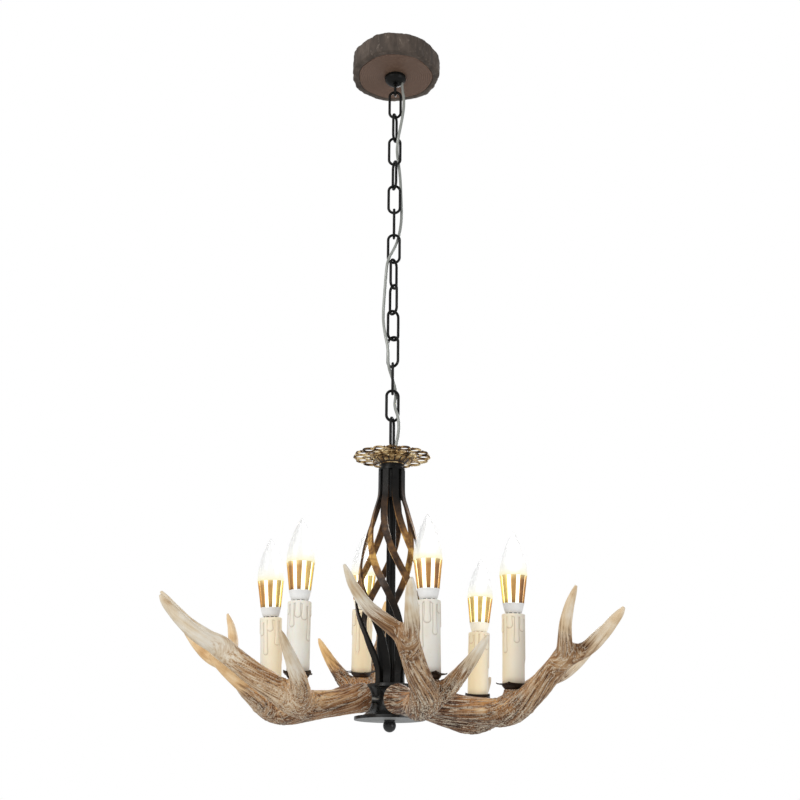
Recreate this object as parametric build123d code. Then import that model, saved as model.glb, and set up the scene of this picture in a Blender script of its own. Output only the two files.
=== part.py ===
from build123d import *
import math
import os

# Six-light antler chandelier on a chain. Millimetres, +Z up. The origin is the
# middle of the ceiling plane: the canopy's rim and the crossbar's back lie in it,
# and everything hangs below. -Y is the side that the photograph shows.

# ---------------------------------------------------------------- driving sizes

running_gap = 0.3        # between pieces that move against each other
thread_gap = 0.05        # radial room of a piece in its hole

# ceiling fixing
canopy_radius = 70.0
canopy_depth_share = 1.05  # front to back against side to side
canopy_height = 34.0
canopy_wall = 4.0
bark_depth = 1.8
crossbar_length = 100.0
crossbar_width = 16.0
crossbar_thickness = 2.0
crossbar_corner = 5.0
crossbar_slot_spacing = 66.0
crossbar_slot_length = 14.0
crossbar_slot_width = 4.6
thread_radius = 5.0
tube_bore_radius = 3.3
nut_across_flats = 12.5
nut_thickness = 3.8
collar_radius = 16.5
collar_tip_radius = 6.5
collar_height = 13.0
collar_lip = 4.0
collar_thread_depth = 6.0
loop_stem_length = 3.0
loop_stem_radius = 4.2
block_length = 18.0
block_depth = 11.0
block_height = 21.0
block_round = 1.5
block_place = 44.0

# chain
link_count = 14
link_wire = 4.0
link_width = 21.0
link_inner_length = 41.3
link_bearings = (0, 73, 0, 107, 0, 90, 0, 60, 125, 30, 150, 90, 10, 75)
collar_loop_bearing = 90
body_loop_bearing = 170

# supply cable
cable_diameter = 4.4
cable_hole_gap = 1.1
cable_neck_gap = 0.6
cable_canopy_offset = 10.5
cable_neck_place = (3.0, -9.5)

# lamp body: heights are above the underside of the hub
body_height = 372.0      # to the loop that the chain carries
crown_drop = 27.0        # from that loop down to the crown's floor
crown_thickness = 1.2
crown_rise = 12.0
crown_floor_radius = 16.0
crown_cup_radius = 28.0
crown_radius = 54.0
crown_flange_thickness = 1.8
crown_lobes = 16
crown_lobe_hole = 6.4
crown_inner_hole = 4.0
crown_rim_width = 2.4
loop_flange_radius = 7.0
neck_washer_radius = 15.0
neck_washer_thickness = 5.0
neck_cap_radius = 18.5
neck_cap_thickness = 3.0
neck_spigot_length = 7.0
neck_screw_radius = 1.5
neck_screw_depth = 3.5
drum_wall = 1.5
drum_height = 40.0
drum_floor_thickness = 4.0
stem_tube_radius = 6.3
stem_thread_depth = 14.0
strap_count = 8
strap_width = 9.0
strap_thickness = 3.0
strap_phase = 17.0
strap_twist = 105.0
hub_rim_radius = 46.5
hub_rim_height = 4.0
hub_waist_radius = 23.5
hub_waist_height = 27.0
hub_top_radius = 31.0
hub_top_height = 45.0
hub_top_thickness = 4.0
hub_cavity_radius = 19.5
hub_roof_thickness = 7.0
cover_radius = 44.0
cover_thickness = 1.6
finial_radius = 8.5
finial_drop = 7.0
finial_collar_radius = 7.0
finial_collar_height = 2.4
finial_stud_radius = 3.0
splice_radius = 7.5
splice_height = 14.0
splice_floor = 8.0
splice_round = 2.0

# antlers
arm_height = 26.0
arm_start = 15.5         # inner end of each threaded arm, from the hub's axis
arm_spot_radius = 20.0   # where the nut seats, from the hub's axis
arm_grip = 17.0          # thread inside the antler
root_gap = 0.0           # from the hub's rim in to the antler's cut face
root_round = 6.0
lamp_reach = 116.0       # along the antler from its cut face to the candle
pedestal_height = 14.5
pedestal_radius = 12.5
pedestal_foot_radius = 15.0
pedestal_depth = 24.0
channel_radius = 3.0
wire_diameter = 2.6

# candles and bulbs: heights are above the antler's pedestal
stem_grip = 7.5
stem_length = 29.0
pan_height = 7.5
pan_thickness = 2.0
pan_wall = 1.4
pan_cup_radius = 16.0
pan_tip_radius = 23.5
pan_foot_radius = 11.0
sleeve_radius = 14.3
sleeve_wall = 1.8
sleeve_length = 88.0
drip_radius = 2.4
drip_stand = 0.7
drip_count = 9
drip_length = 20.0
holder_floor = 17.5
holder_sink = 2.0
socket_room = 0.5
bulb_cap_radius = 6.9
bulb_cap_length = 28.0
bulb_collar_height = 13.3
bulb_collar_radius = 10.4
sink_foot_radius = 14.2
sink_top_radius = 18.3
sink_height = 36.0
sink_wall = 1.6
sink_ring = 1.5
sink_fins = 8
bulb_glass_height = 58.5
bulb_glass_wall = 1.0

# How each antler sits on the hub: its bearing round the hub (0 faces the viewer),
# its swing, lift and roll about its cut face, how far it stands out and up from
# its nominal seat, and how far its bulb is screwed round.
antler_seats = {
    1: dict(bearing=-45, swing=0.0, lift=0.0, roll=0.5, out=-3.0, up=-1.5, bulb=20.5),
    2: dict(bearing=15, swing=3.5, lift=-1.0, roll=1.0, out=-1.9, up=-4.1, bulb=4.0),
    3: dict(bearing=75, swing=-5.0, lift=-2.0, roll=3.0, out=4.1, up=-2.2, bulb=-6.5),
    4: dict(bearing=135, swing=-5.0, lift=-3.0, roll=0.0, out=-0.3, up=0.7, bulb=-20.0),
    5: dict(bearing=-165, swing=1.0, lift=14.0, roll=-3.0, out=-1.4, up=4.8, bulb=0.0),
    6: dict(bearing=-105, swing=2.5, lift=-0.5, roll=-6.0, out=1.5, up=2.4, bulb=-7.0),
}

# One antler in its own frame: the origin is the middle of the arm's bore at the
# cut face, x runs outward, y to the right seen from the hub, z up. Each station
# is x, y, z, radius.
beam_stations = (
    (0, -3, 1.5, 18.0), (7, -3, 0.5, 19.2), (18, -1.5, -2, 18.0),
    (38, 0.5, -7, 16.5), (68, -1, -11.5, 17.0), (96, -5, -14, 18.5),
    (118, -9, -9, 18.0), (138, -16, 3, 16.0), (163, -33, 22.5, 14.5),
    (189, -51, 46, 13.5), (209, -63, 65, 11.5),
)
fork_inner_stations = (
    (194, -55, 53, 10.0), (200, -76, 65.5, 9.2), (208, -106, 85, 7.7),
    (217, -125, 105, 5.9), (224, -134, 118, 4.0), (229, -140, 127, 1.8),
)
fork_outer_stations = (
    (192, -52, 49, 10.0), (222, -58.5, 60.5, 9.4), (245, -66.5, 78, 8.2),
    (260, -72.5, 93.5, 6.6), (268, -75, 102, 4.6), (273, -76, 108.5, 1.8),
)
brow_tine_stations = (
    (112, 3, -9, 10.0), (124, 15, 0, 12.0), (136, 24, 12, 10.5),
    (152, 33, 26.5, 8.5), (169, 41, 42.5, 6.2), (180, 46, 54, 4.2),
    (186, 48.5, 61, 1.6),
)

# Middle of the wire channel from the arm's bore up to the candle's stem.
channel_points = (
    (arm_grip - 6, 0, 0), (arm_grip + 7, 0, -1.5), (44, 0, -8), (72, 0, -14.5),
    (96, 0, -18), (lamp_reach - 10, 0, -15.5), (lamp_reach - 2.5, 0, -8),
    (lamp_reach, 0, 1), (lamp_reach, 0, pedestal_height - stem_grip + 1),
)

strap_neck_radius = 18.0
strap_foot_radius = 18.8

# Radius of the basket's outside at each share of its height, from neck to hub.
basket_shares = (
    (1.0, strap_neck_radius), (0.976, strap_neck_radius), (0.952, strap_neck_radius),
    (0.928, strap_neck_radius), (0.904, 18.1), (0.877, 18.8), (0.825, 23.0),
    (0.753, 29.0), (0.702, 33.0), (0.634, 37.5), (0.572, 41.0), (0.503, 45.0),
    (0.408, 48.0), (0.315, 45.5), (0.25, 40.0), (0.178, 32.0), (0.116, 24.0),
    (0.065, 19.4), (0.031, strap_foot_radius), (0.0, strap_foot_radius),
)
twist_from_share = 0.884
twist_to_share = 0.072

# Half outline of the bulb's glass: share of its radius and share of its height.
flame_outline = ((1.0, 0.0), (0.965, 0.2), (0.74, 0.52), (0.37, 0.8), (0.13, 0.94))

# ---------------------------------------------------------------- worked out

wire_radius = link_wire / 2
loop_radius = (link_width - link_wire) / 2
link_pitch = link_inner_length - running_gap
first_seat = -(canopy_height + collar_height + loop_stem_length + 2 * loop_radius
               - link_wire)
last_seat = first_seat - link_count * link_pitch
hub_z = last_seat - body_height
crown_floor = body_height - crown_drop
strap_top = crown_floor - neck_washer_thickness - neck_cap_thickness
drum_floor = strap_top - drum_height
strap_step = 360 / strap_count
neck_screw_bearing = strap_phase - 1.5 * strap_step     # in the gap between two straps
basket_height = strap_top - hub_top_height
twist_start = hub_top_height + twist_from_share * basket_height
twist_end = hub_top_height + twist_to_share * basket_height
cable_radius = cable_diameter / 2
cable_hole_radius = cable_radius + cable_hole_gap
cable_neck_hole_radius = cable_radius + cable_neck_gap
cable_canopy_z = -canopy_height + canopy_wall + block_height * 0.75
thread_hole_radius = thread_radius + thread_gap
nut_radius = nut_across_flats / math.sqrt(3)
drum_radius = strap_neck_radius - strap_thickness - thread_gap
hub_roof = hub_top_height - hub_roof_thickness
root_place = hub_rim_radius - root_gap
sleeve_top = pan_height + sleeve_length
sleeve_bore = sleeve_radius - sleeve_wall
holder_radius = sleeve_bore - running_gap
holder_top = sleeve_top - holder_sink
socket_radius = bulb_cap_radius + socket_room
bulb_seat = sleeve_top + running_gap
socket_floor = bulb_seat - bulb_cap_length - running_gap
sink_floor = bulb_seat + bulb_collar_height
glass_floor = sink_floor + sink_height


# ---------------------------------------------------------------- helpers

def write(name, shape):
    export_step(shape, f"parts/{name}.step")


def group(shapes):
    return Compound(children=list(shapes))


def disc(radius, low, high):
    return Pos(0, 0, (low + high) / 2) * Cylinder(radius, high - low)


def cone(low_radius, high_radius, low, high):
    return Pos(0, 0, (low + high) / 2) * Cone(low_radius, high_radius, high - low)


def tube(outer, inner, low, high):
    return disc(outer, low, high) - disc(inner, low - 1, high + 1)


def nut(low):
    """Hexagon nut on a thread, its lower face at the given height."""
    blank = extrude(Plane.XY.offset(low) * RegularPolygon(nut_radius, 6), nut_thickness)
    return blank - disc(thread_hole_radius, low - 1, low + nut_thickness + 1)


def smoothstep(t):
    t = min(max(t, 0.0), 1.0)
    return t * t * (3 - 2 * t)


def limb(stations, side):
    """Round limb lofted through circles square to the line through its stations."""
    points = [Vector(*station[:3]) for station in stations]
    last = len(points) - 1
    sections = []
    for i, station in enumerate(stations):
        along = (points[min(i + 1, last)] - points[max(i - 1, 0)]).normalized()
        across = side - along * side.dot(along)
        plane = Plane(origin=points[i], x_dir=across.normalized(), z_dir=along)
        sections.append(plane * Circle(station[3]))
    return loft(sections)


def corner_radii(points):
    """The largest arc that each corner of a route has room for."""
    radii = []
    for before, corner, after in zip(points, points[1:], points[2:]):
        run_in = corner - before
        run_out = after - corner
        turn = math.radians(run_in.get_angle(run_out))
        shorter = min(run_in.length, run_out.length)
        radii.append(0.45 * shorter / math.tan(turn / 2))
    return radii


def cord(points, radius):
    """Round cord along straight runs joined by tangent arcs, its path and radii."""
    points = [Vector(*p) for p in points]
    radii = corner_radii(points)
    path = FilletPolyline(*points, radius=radii)
    along = points[1] - points[0]
    start = Plane(origin=points[0], z_dir=along.normalized())
    return sweep(start * Circle(radius), path=path), path, radii


def report_cord(name, solid, path, radii, radius):
    section = math.pi * radius ** 2
    print(name, "length", round(path.length, 1), "volume over section times length",
          round(solid.volume / (section * path.length), 4),
          "radii", [round(r, 1) for r in radii])


# ---------------------------------------------------------------- ceiling fixing

def make_crossbar():
    bar = Pos(0, 0, -crossbar_thickness / 2) * Box(
        crossbar_length, crossbar_width, crossbar_thickness)
    bar = fillet(bar.edges().filter_by(Axis.Z), min(crossbar_corner, crossbar_width / 2.2))
    bar -= disc(thread_hole_radius, -crossbar_thickness - 1, 1)
    slot_sketch = SlotOverall(crossbar_slot_length, crossbar_slot_width)
    slot = extrude(slot_sketch, crossbar_thickness + 2, both=True)
    for side in (-1, 1):
        bar -= Pos(side * crossbar_slot_spacing / 2, 0, 0) * slot
    return bar


def canopy_outline():
    """Slightly uneven round outline of a slice of trunk."""
    points = []
    count = 24
    for i in range(count):
        a = 2 * math.pi * i / count
        swell = 0.55 * math.sin(3 * a + 0.7) + 0.45 * math.sin(7 * a + 2.1)
        r = canopy_radius - bark_depth + bark_depth * swell
        points.append((r * math.cos(a), canopy_depth_share * r * math.sin(a)))
    return make_face(Spline(*points, periodic=True))


def make_canopy():
    body = extrude(Plane.XY.offset(-canopy_height) * canopy_outline(), canopy_height)
    floor = canopy_height - canopy_wall
    inner_radius = canopy_radius - 2 * bark_depth - canopy_wall
    body -= disc(inner_radius, -floor, 1)
    body -= disc(thread_hole_radius, -canopy_height - 1, 0)
    cable_hole = disc(cable_hole_radius, -canopy_height - 1, 0)
    body -= Pos(cable_canopy_offset, 0, 0) * cable_hole
    return body


def make_canopy_fixings():
    """Threaded tube through crossbar, canopy and collar, with its two nuts."""
    low = -canopy_height - collar_thread_depth + running_gap
    nipple = tube(thread_radius, tube_bore_radius, low, -running_gap)
    under_bar = nut(-crossbar_thickness - nut_thickness)
    on_floor = nut(-(canopy_height - canopy_wall))
    return group([nipple, under_bar, on_floor])


def make_terminal_block():
    """Block on the canopy's floor where the supply cable is joined to the mains."""
    floor = -canopy_height + canopy_wall
    middle = block_place + block_depth / 2
    block = Pos(middle, 0, floor + block_height / 2) * Box(
        block_depth, block_length, block_height)
    return fillet(block.edges().filter_by(Axis.Z), block_round)


def wire_ring(bearing, middle):
    """Round wire loop standing in a vertical plane at the given bearing."""
    ring = Torus(loop_radius, wire_radius)
    return Pos(0, 0, middle) * Rot(0, 0, bearing) * Rot(90, 0, 0) * ring


def make_collar_loop():
    top = -canopy_height
    low = top - collar_height
    shoulder_middle = ((collar_radius + collar_tip_radius) / 2 + 1.5,
                       (top - collar_lip + low) / 2 - 1.0)
    profile = Polyline((0, top), (collar_radius, top), (collar_radius, top - collar_lip))
    profile += ThreePointArc(
        (collar_radius, top - collar_lip), shoulder_middle, (collar_tip_radius, low))
    profile += Polyline((collar_tip_radius, low), (0, low), (0, top))
    dome = revolve(Plane.XZ * make_face(profile), Axis.Z)
    ring_middle = first_seat - wire_radius + loop_radius
    body = dome + disc(loop_stem_radius, ring_middle + loop_radius, low + 1)
    body += wire_ring(collar_loop_bearing, ring_middle)
    body -= disc(thread_hole_radius, top - collar_thread_depth, top + 1)
    body -= Pos(cable_canopy_offset, 0, 0) * disc(cable_hole_radius, low - 1, top + 1)
    return body


# ---------------------------------------------------------------- chain

def make_link():
    """One oval link in the XZ plane, its upper inner edge at z = 0."""
    straight = link_inner_length + link_wire - 2 * loop_radius
    top_middle = wire_radius - loop_radius
    low_middle = top_middle - straight
    half = Rot(90, 0, 0) * revolve(
        Pos(loop_radius, 0, 0) * Plane.XZ * Circle(wire_radius), Axis.Z, 180)
    link = Pos(0, 0, top_middle) * half
    link += Pos(0, 0, low_middle) * Rot(180, 0, 0) * half
    for side in (-1, 1):
        bar = Pos(side * loop_radius, 0, (top_middle + low_middle) / 2)
        link += bar * Cylinder(wire_radius, straight)
    return link


def seat_height(number):
    """Top of the wire that carries a link; after the last comes the lamp's loop."""
    return first_seat - (number - 1) * link_pitch


def link_location(number):
    height = seat_height(number) + running_gap
    return Pos(0, 0, height) * Rot(0, 0, link_bearings[number - 1])


# ---------------------------------------------------------------- supply cable

def cable_route():
    """Points of the cable, woven through the chain. Heights follow the links."""
    def at(x, y, link):
        return (x, y, seat_height(link))

    neck_x, neck_y = cable_neck_place
    neck_low = hub_z + strap_top - neck_spigot_length
    return [
        (block_place, 0, cable_canopy_z),
        (25.5, 0, cable_canopy_z),
        (cable_canopy_offset, 0, -canopy_height + 6.8),
        (cable_canopy_offset, 0, -canopy_height - collar_height - 7.0),
        at(13.6, -1, 1.2),
        at(13.4, -4, 1.75),
        at(9, -7, 2.5),
        at(4.5, -7, 3.1),
        at(3.2, 0.5, 3.52),
        at(6.5, 7, 4.0),
        at(9, 5, 4.6),
        at(10.5, 7, 5.5),
        at(11.5, 5.5, 6.25),
        at(7, 7, 7.0),
        at(0.5, 0.3, 7.5),
        at(-9.5, -6.5, 8.05),
        at(-11.5, -4.5, 8.7),
        at(-13, -3.5, 9.35),
        at(-15, -3, 10.2),
        at(-12, -7.6, 10.85),
        at(-6.5, -7.5, 11.45),
        at(-6.8, -4.5, 12.05),
        at(0, 0.3, 12.5),
        at(5.7, 7.2, 12.98),
        at(2.2, 0.5, 13.5),
        at(9, -7, 13.98),
        at(9.5, -8, 14.5),
        at(5, -9.6, 15.05),
        (neck_x, neck_y, hub_z + crown_floor + crown_thickness + 2.0),
        (neck_x, neck_y, neck_low - nut_thickness - 2.0),
        (0, 0, hub_z + drum_floor + drum_floor_thickness + 4.0),
        (0, 0, hub_z + splice_floor + splice_height),
    ]


# ---------------------------------------------------------------- crown and neck

def make_body_loop():
    ring_middle = body_height - wire_radius + loop_radius
    ring_middle -= 2 * loop_radius - link_wire
    floor = crown_floor + crown_thickness
    body = wire_ring(body_loop_bearing, ring_middle)
    body += disc(loop_stem_radius, floor, ring_middle - loop_radius)
    body += disc(loop_flange_radius, floor, floor + collar_lip)
    body += disc(thread_radius, strap_top - neck_spigot_length, floor + 1)
    return Pos(0, 0, hub_z) * body


def make_crown():
    """Pierced dish: a flared cup under a flat openwork flange with a lobed edge."""
    t = crown_thickness
    low = crown_floor
    cup_top = low + crown_rise
    outline = [
        (0, low), (crown_floor_radius, low), (crown_cup_radius, cup_top),
        (crown_cup_radius, cup_top + crown_flange_thickness),
        (crown_cup_radius - t, cup_top + crown_flange_thickness),
        (crown_floor_radius - t / 2, low + t), (0, low + t), (0, low)]
    cup = revolve(Plane.XZ * make_face(Polyline(*outline)), Axis.Z)
    lobe_radius = crown_lobe_hole + crown_rim_width
    lobe_ring = crown_radius - lobe_radius
    inner_ring = lobe_ring - crown_lobe_hole - crown_inner_hole
    half_step = 180 / crown_lobes
    flange = Circle(lobe_ring + lobe_radius * 0.4)
    flange += PolarLocations(lobe_ring, crown_lobes) * Circle(lobe_radius)
    flange -= PolarLocations(lobe_ring, crown_lobes) * Circle(crown_lobe_hole)
    flange -= PolarLocations(inner_ring, crown_lobes, half_step) * Circle(crown_inner_hole)
    flange -= Circle(crown_cup_radius - t)
    crown = cup + extrude(Plane.XY.offset(cup_top) * flange, crown_flange_thickness)
    crown -= disc(thread_hole_radius, low - 1, low + t + 1)
    neck_x, neck_y = cable_neck_place
    crown -= Pos(neck_x, neck_y, 0) * disc(cable_neck_hole_radius, low - 1, low + t + 1)
    return Pos(0, 0, hub_z) * crown


def neck_screw_place(radius, length):
    """Radial cylinder under the neck cap, its outer end on the drum's surface."""
    height = strap_top - neck_spigot_length / 2
    middle = -(drum_radius - length / 2)
    return Rot(0, 0, neck_screw_bearing) * Pos(0, middle, height) * Rot(
        90, 0, 0) * Cylinder(radius, length)


def make_neck_cap():
    plate_top = crown_floor - neck_washer_thickness
    spigot_radius = drum_radius - drum_wall - thread_gap
    spigot_low = strap_top - neck_spigot_length
    cap = disc(neck_washer_radius, plate_top, crown_floor)
    cap += disc(neck_cap_radius, strap_top, plate_top)
    cap += disc(spigot_radius, spigot_low, strap_top)
    cap -= disc(thread_hole_radius, spigot_low - 1, crown_floor + 1)
    neck_x, neck_y = cable_neck_place
    cap -= Pos(neck_x, neck_y, 0) * disc(
        cable_neck_hole_radius, spigot_low - 1, crown_floor + 1)
    cap -= neck_screw_place(neck_screw_radius + thread_gap, neck_screw_depth)
    return Pos(0, 0, hub_z) * cap


def make_neck_screw():
    screw = neck_screw_place(neck_screw_radius, neck_screw_depth)
    return Pos(0, 0, hub_z) * screw


def make_stem_tube():
    """Drum under the neck cap, and the tube that runs down to the hub."""
    drum_low = drum_floor + drum_floor_thickness
    thread_low = hub_top_height - stem_thread_depth
    body = disc(drum_radius, drum_floor, strap_top)
    body -= disc(drum_radius - drum_wall, drum_low, strap_top + 1)
    body += disc(stem_tube_radius, hub_top_height, drum_floor + 1)
    body += disc(thread_radius, thread_low, hub_top_height + 1)
    body -= disc(tube_bore_radius, thread_low - 1, drum_low + 1)
    body -= neck_screw_place(neck_screw_radius + thread_gap, neck_screw_depth)
    return Pos(0, 0, hub_z) * body


def strap_point(height, outside):
    turned = strap_twist * smoothstep((twist_start - height) / (twist_start - twist_end))
    a = math.radians(turned)
    r = outside - strap_thickness / 2
    return Vector(r * math.sin(a), -r * math.cos(a), height)


def make_strap():
    """One flat bar of the basket, swelling out and turning round the stem."""
    points = [strap_point(hub_top_height + share * basket_height, radius)
              for share, radius in basket_shares]
    last = len(points) - 1
    sections = []
    for i, point in enumerate(points):
        if i in (0, last):
            along = Vector(0, 0, -1)
        else:
            along = (points[i + 1] - points[i - 1]).normalized()
        outward = Vector(point.X, point.Y, 0).normalized()
        across = along.cross(outward).normalized()
        plane = Plane(origin=point, x_dir=across, z_dir=along)
        sections.append(plane * Rectangle(strap_width, strap_thickness))
    return loft(sections)


def make_basket():
    strap = make_strap()
    turns = [Rot(0, 0, strap_phase + i * strap_step) for i in range(strap_count)]
    return Pos(0, 0, hub_z) * group([turn * strap for turn in turns])


# ---------------------------------------------------------------- hub

def make_hub():
    """Waisted spool, hollow, open below, with a spot-faced hole for each arm."""
    waist = (hub_waist_radius, hub_waist_height)
    rim_edge = (hub_rim_radius, hub_rim_height)
    top_edge = (hub_top_radius, hub_top_height - hub_top_thickness)
    low_middle = (hub_waist_radius + (hub_rim_radius - hub_waist_radius) * 0.24,
                  hub_rim_height + (hub_waist_height - hub_rim_height) * 0.3)
    high_middle = (hub_waist_radius + (hub_top_radius - hub_waist_radius) * 0.25,
                   (hub_waist_height + top_edge[1]) / 2)
    outline = Polyline((0, hub_top_height), (0, 0), (hub_rim_radius, 0), rim_edge)
    outline += ThreePointArc(rim_edge, low_middle, waist)
    outline += ThreePointArc(waist, high_middle, top_edge)
    outline += Polyline(top_edge, (hub_top_radius, hub_top_height), (0, hub_top_height))
    body = revolve(Plane.XZ * make_face(outline), Axis.Z)
    body -= disc(hub_cavity_radius, -1, hub_roof)
    body -= disc(cover_radius + thread_gap, -1, cover_thickness)
    body -= disc(thread_hole_radius, 0, hub_top_height + 1)
    body = Pos(0, 0, hub_z) * body
    for seat in antler_seats.values():
        arm = arm_axis(seat)
        body -= arm * disc(nut_radius + 1, arm_start - nut_thickness, arm_spot_radius)
        body -= arm * disc(thread_hole_radius, arm_start, hub_rim_radius)
    return body


def make_hub_cover():
    plate = disc(cover_radius, 0, cover_thickness)
    plate -= disc(finial_stud_radius + thread_gap, -1, cover_thickness + 1)
    return Pos(0, 0, hub_z) * plate


def make_finial():
    ball = Pos(0, 0, -finial_drop) * Sphere(finial_radius)
    ball -= disc(finial_radius * 2, 0, finial_radius * 2)
    ball += disc(finial_collar_radius, -finial_collar_height, 0)
    ball += disc(finial_stud_radius, -1, splice_floor)
    return Pos(0, 0, hub_z) * ball


def make_splice_cap():
    cap = disc(splice_radius, splice_floor, splice_floor + splice_height)
    cap = fillet(cap.edges().group_by(Axis.Z)[0], min(splice_round, splice_radius / 2))
    return Pos(0, 0, hub_z) * cap


# ---------------------------------------------------------------- antlers

def antler_location(seat):
    """Where an antler's own frame lies once its cut face is drawn up to the hub."""
    out = root_place + seat["out"]
    place = Pos(0, 0, hub_z) * Rot(0, 0, seat["bearing"] - 90)
    place *= Pos(out, 0, arm_height + seat["up"])
    return place * Rot(0, 0, seat["swing"]) * Rot(0, -seat["lift"], 0) * Rot(
        seat["roll"], 0, 0)


def arm_axis(seat):
    """Axis of the antler's arm: z runs outward, and 0 is level with the hub's axis."""
    out = root_place + seat["out"]
    return antler_location(seat) * Rot(0, 90, 0) * Pos(0, 0, -out)


def lamp_location(seat):
    """Top of an antler's pedestal, where its candle stands."""
    return antler_location(seat) * Pos(lamp_reach, 0, pedestal_height)


def make_antler():
    """One cast antler with its lamp pedestal, arm bore and wire channel."""
    side = Vector(0, 1, 0)
    body = limb(beam_stations, side)
    body = fillet(body.faces().sort_by(Axis.X)[0].edges(), root_round)
    body += limb(fork_inner_stations, Vector(1, 0, 0))
    body += limb(fork_outer_stations, side)
    body += limb(brow_tine_stations, side)
    pedestal = cone(pedestal_foot_radius, pedestal_radius,
                    pedestal_height - pedestal_depth, pedestal_height)
    body += Pos(lamp_reach, 0, 0) * pedestal
    body -= Rot(0, 90, 0) * disc(thread_hole_radius, -root_round, arm_grip + 1)
    channel, _, _ = cord(channel_points, channel_radius)
    body -= channel
    stem_low = pedestal_height - stem_grip
    body -= Pos(lamp_reach, 0, 0) * disc(thread_hole_radius, stem_low, pedestal_height + 1)
    return body


def make_nipples():
    """Threaded tubes: an arm from the hub into each antler, and a stem per candle."""
    stem = tube(thread_radius, tube_bore_radius, -stem_grip, stem_length - stem_grip)
    pieces = []
    for seat in antler_seats.values():
        arm_end = root_place + seat["out"] + arm_grip
        arm = tube(thread_radius, tube_bore_radius, arm_start, arm_end)
        pieces.append(arm_axis(seat) * arm)
        pieces.append(lamp_location(seat) * stem)
    return group(pieces)


def make_nuts():
    """Nuts inside the hub, on the arms and on the stem tube, and one under each candle."""
    stem_nut = nut(hub_roof - nut_thickness)
    neck_nut = nut(strap_top - neck_spigot_length - nut_thickness)
    pieces = [Pos(0, 0, hub_z) * stem_nut, Pos(0, 0, hub_z) * neck_nut]
    for seat in antler_seats.values():
        pieces.append(arm_axis(seat) * nut(arm_spot_radius - nut_thickness))
        pieces.append(lamp_location(seat) * nut(pan_height))
    return group(pieces)


def wire_route(seat):
    """A lamp wire from the splice cap through arm, antler and candle stem."""
    hub = Pos(0, 0, hub_z) * Rot(0, 0, seat["bearing"] - 90)
    antler = antler_location(seat)
    inner_bend = arm_start - 2.0 - root_place - seat["out"]
    start = hub * Pos(splice_radius - 0.5, 0, splice_floor + splice_height / 2)
    inside = [(inner_bend, 0, 0), *channel_points[:-1],
              (lamp_reach, 0, pedestal_height + holder_floor)]
    return [start.position] + [(antler * Pos(*p)).position for p in inside]


# ---------------------------------------------------------------- candles

def make_pan():
    """Drip pan: a shallow cup under a plate with four leaf points."""
    plate_low = pan_height - pan_thickness
    cup = cone(pan_foot_radius, pan_cup_radius, 0, plate_low)
    cup -= cone(pan_foot_radius - pan_wall, pan_cup_radius - pan_wall, pan_wall, plate_low)
    cup += disc(thread_radius + pan_wall * 2, 0, plate_low)
    edges = []
    for i in range(4):
        a = math.radians(90 * i)
        b = math.radians(90 * i + 45)
        c = math.radians(90 * i + 90)
        edges.append(ThreePointArc(
            (pan_tip_radius * math.cos(a), pan_tip_radius * math.sin(a)),
            (pan_cup_radius * math.cos(b), pan_cup_radius * math.sin(b)),
            (pan_tip_radius * math.cos(c), pan_tip_radius * math.sin(c))))
    leaf = extrude(Plane.XY.offset(plate_low) * make_face(edges), pan_thickness)
    return cup + leaf - disc(thread_hole_radius, -1, pan_height + 1)


def make_holder():
    """Lamp holder: a long cylinder with the bulb's socket in its top."""
    body = disc(holder_radius, holder_floor, holder_top)
    body -= disc(socket_radius, socket_floor, holder_top + 1)
    body -= disc(thread_hole_radius, holder_floor - 1, stem_length - stem_grip)
    return body


def make_sleeve():
    """Candle sleeve with runs of wax moulded round its top."""
    sleeve = disc(sleeve_radius, pan_height, sleeve_top)
    ring_radius = sleeve_radius - drip_radius + drip_stand
    for i in range(drip_count):
        a = 360 / drip_count * i + 7 * math.sin(5 * i)
        length = drip_length * (1 + 0.45 * math.sin(2.3 * i) + 0.35 * math.sin(4.1 * i + 1))
        top = sleeve_top - drip_radius
        run = disc(drip_radius, sleeve_top - length, top)
        run += Pos(0, 0, sleeve_top - length) * Sphere(drip_radius)
        run += Pos(0, 0, top) * Sphere(drip_radius)
        sleeve += Rot(0, 0, a) * Pos(ring_radius, 0, 0) * run
    return sleeve - disc(sleeve_bore, pan_height - 1, sleeve_top + 1)


# ---------------------------------------------------------------- bulbs

def make_bulb_base():
    """Screw cap, white collar and the white core inside the heat sink."""
    cap = disc(bulb_cap_radius, bulb_seat - bulb_cap_length, bulb_seat)
    collar = cone(bulb_collar_radius, sink_foot_radius, bulb_seat, sink_floor)
    core_gap = sink_wall + running_gap
    core = cone(sink_foot_radius - core_gap, sink_top_radius - core_gap,
                sink_floor, glass_floor)
    return cap + collar + core


def make_bulb_sink():
    """Flared metal shell cut into upright fins between two rings."""
    shell = cone(sink_foot_radius, sink_top_radius, sink_floor, glass_floor)
    shell -= cone(sink_foot_radius - sink_wall, sink_top_radius - sink_wall,
                  sink_floor, glass_floor)
    low = sink_floor + sink_ring
    high = glass_floor - sink_ring
    step = 360 / sink_fins
    far = 2 * sink_top_radius
    half = far * math.tan(math.radians(step / 4))
    wedge = make_face(Polyline((0, 0), (far, -half), (far, half), (0, 0)))
    window = extrude(Plane.XY.offset(low) * wedge, high - low)
    for i in range(sink_fins):
        shell -= Rot(0, 0, i * step) * window
    return shell


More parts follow.
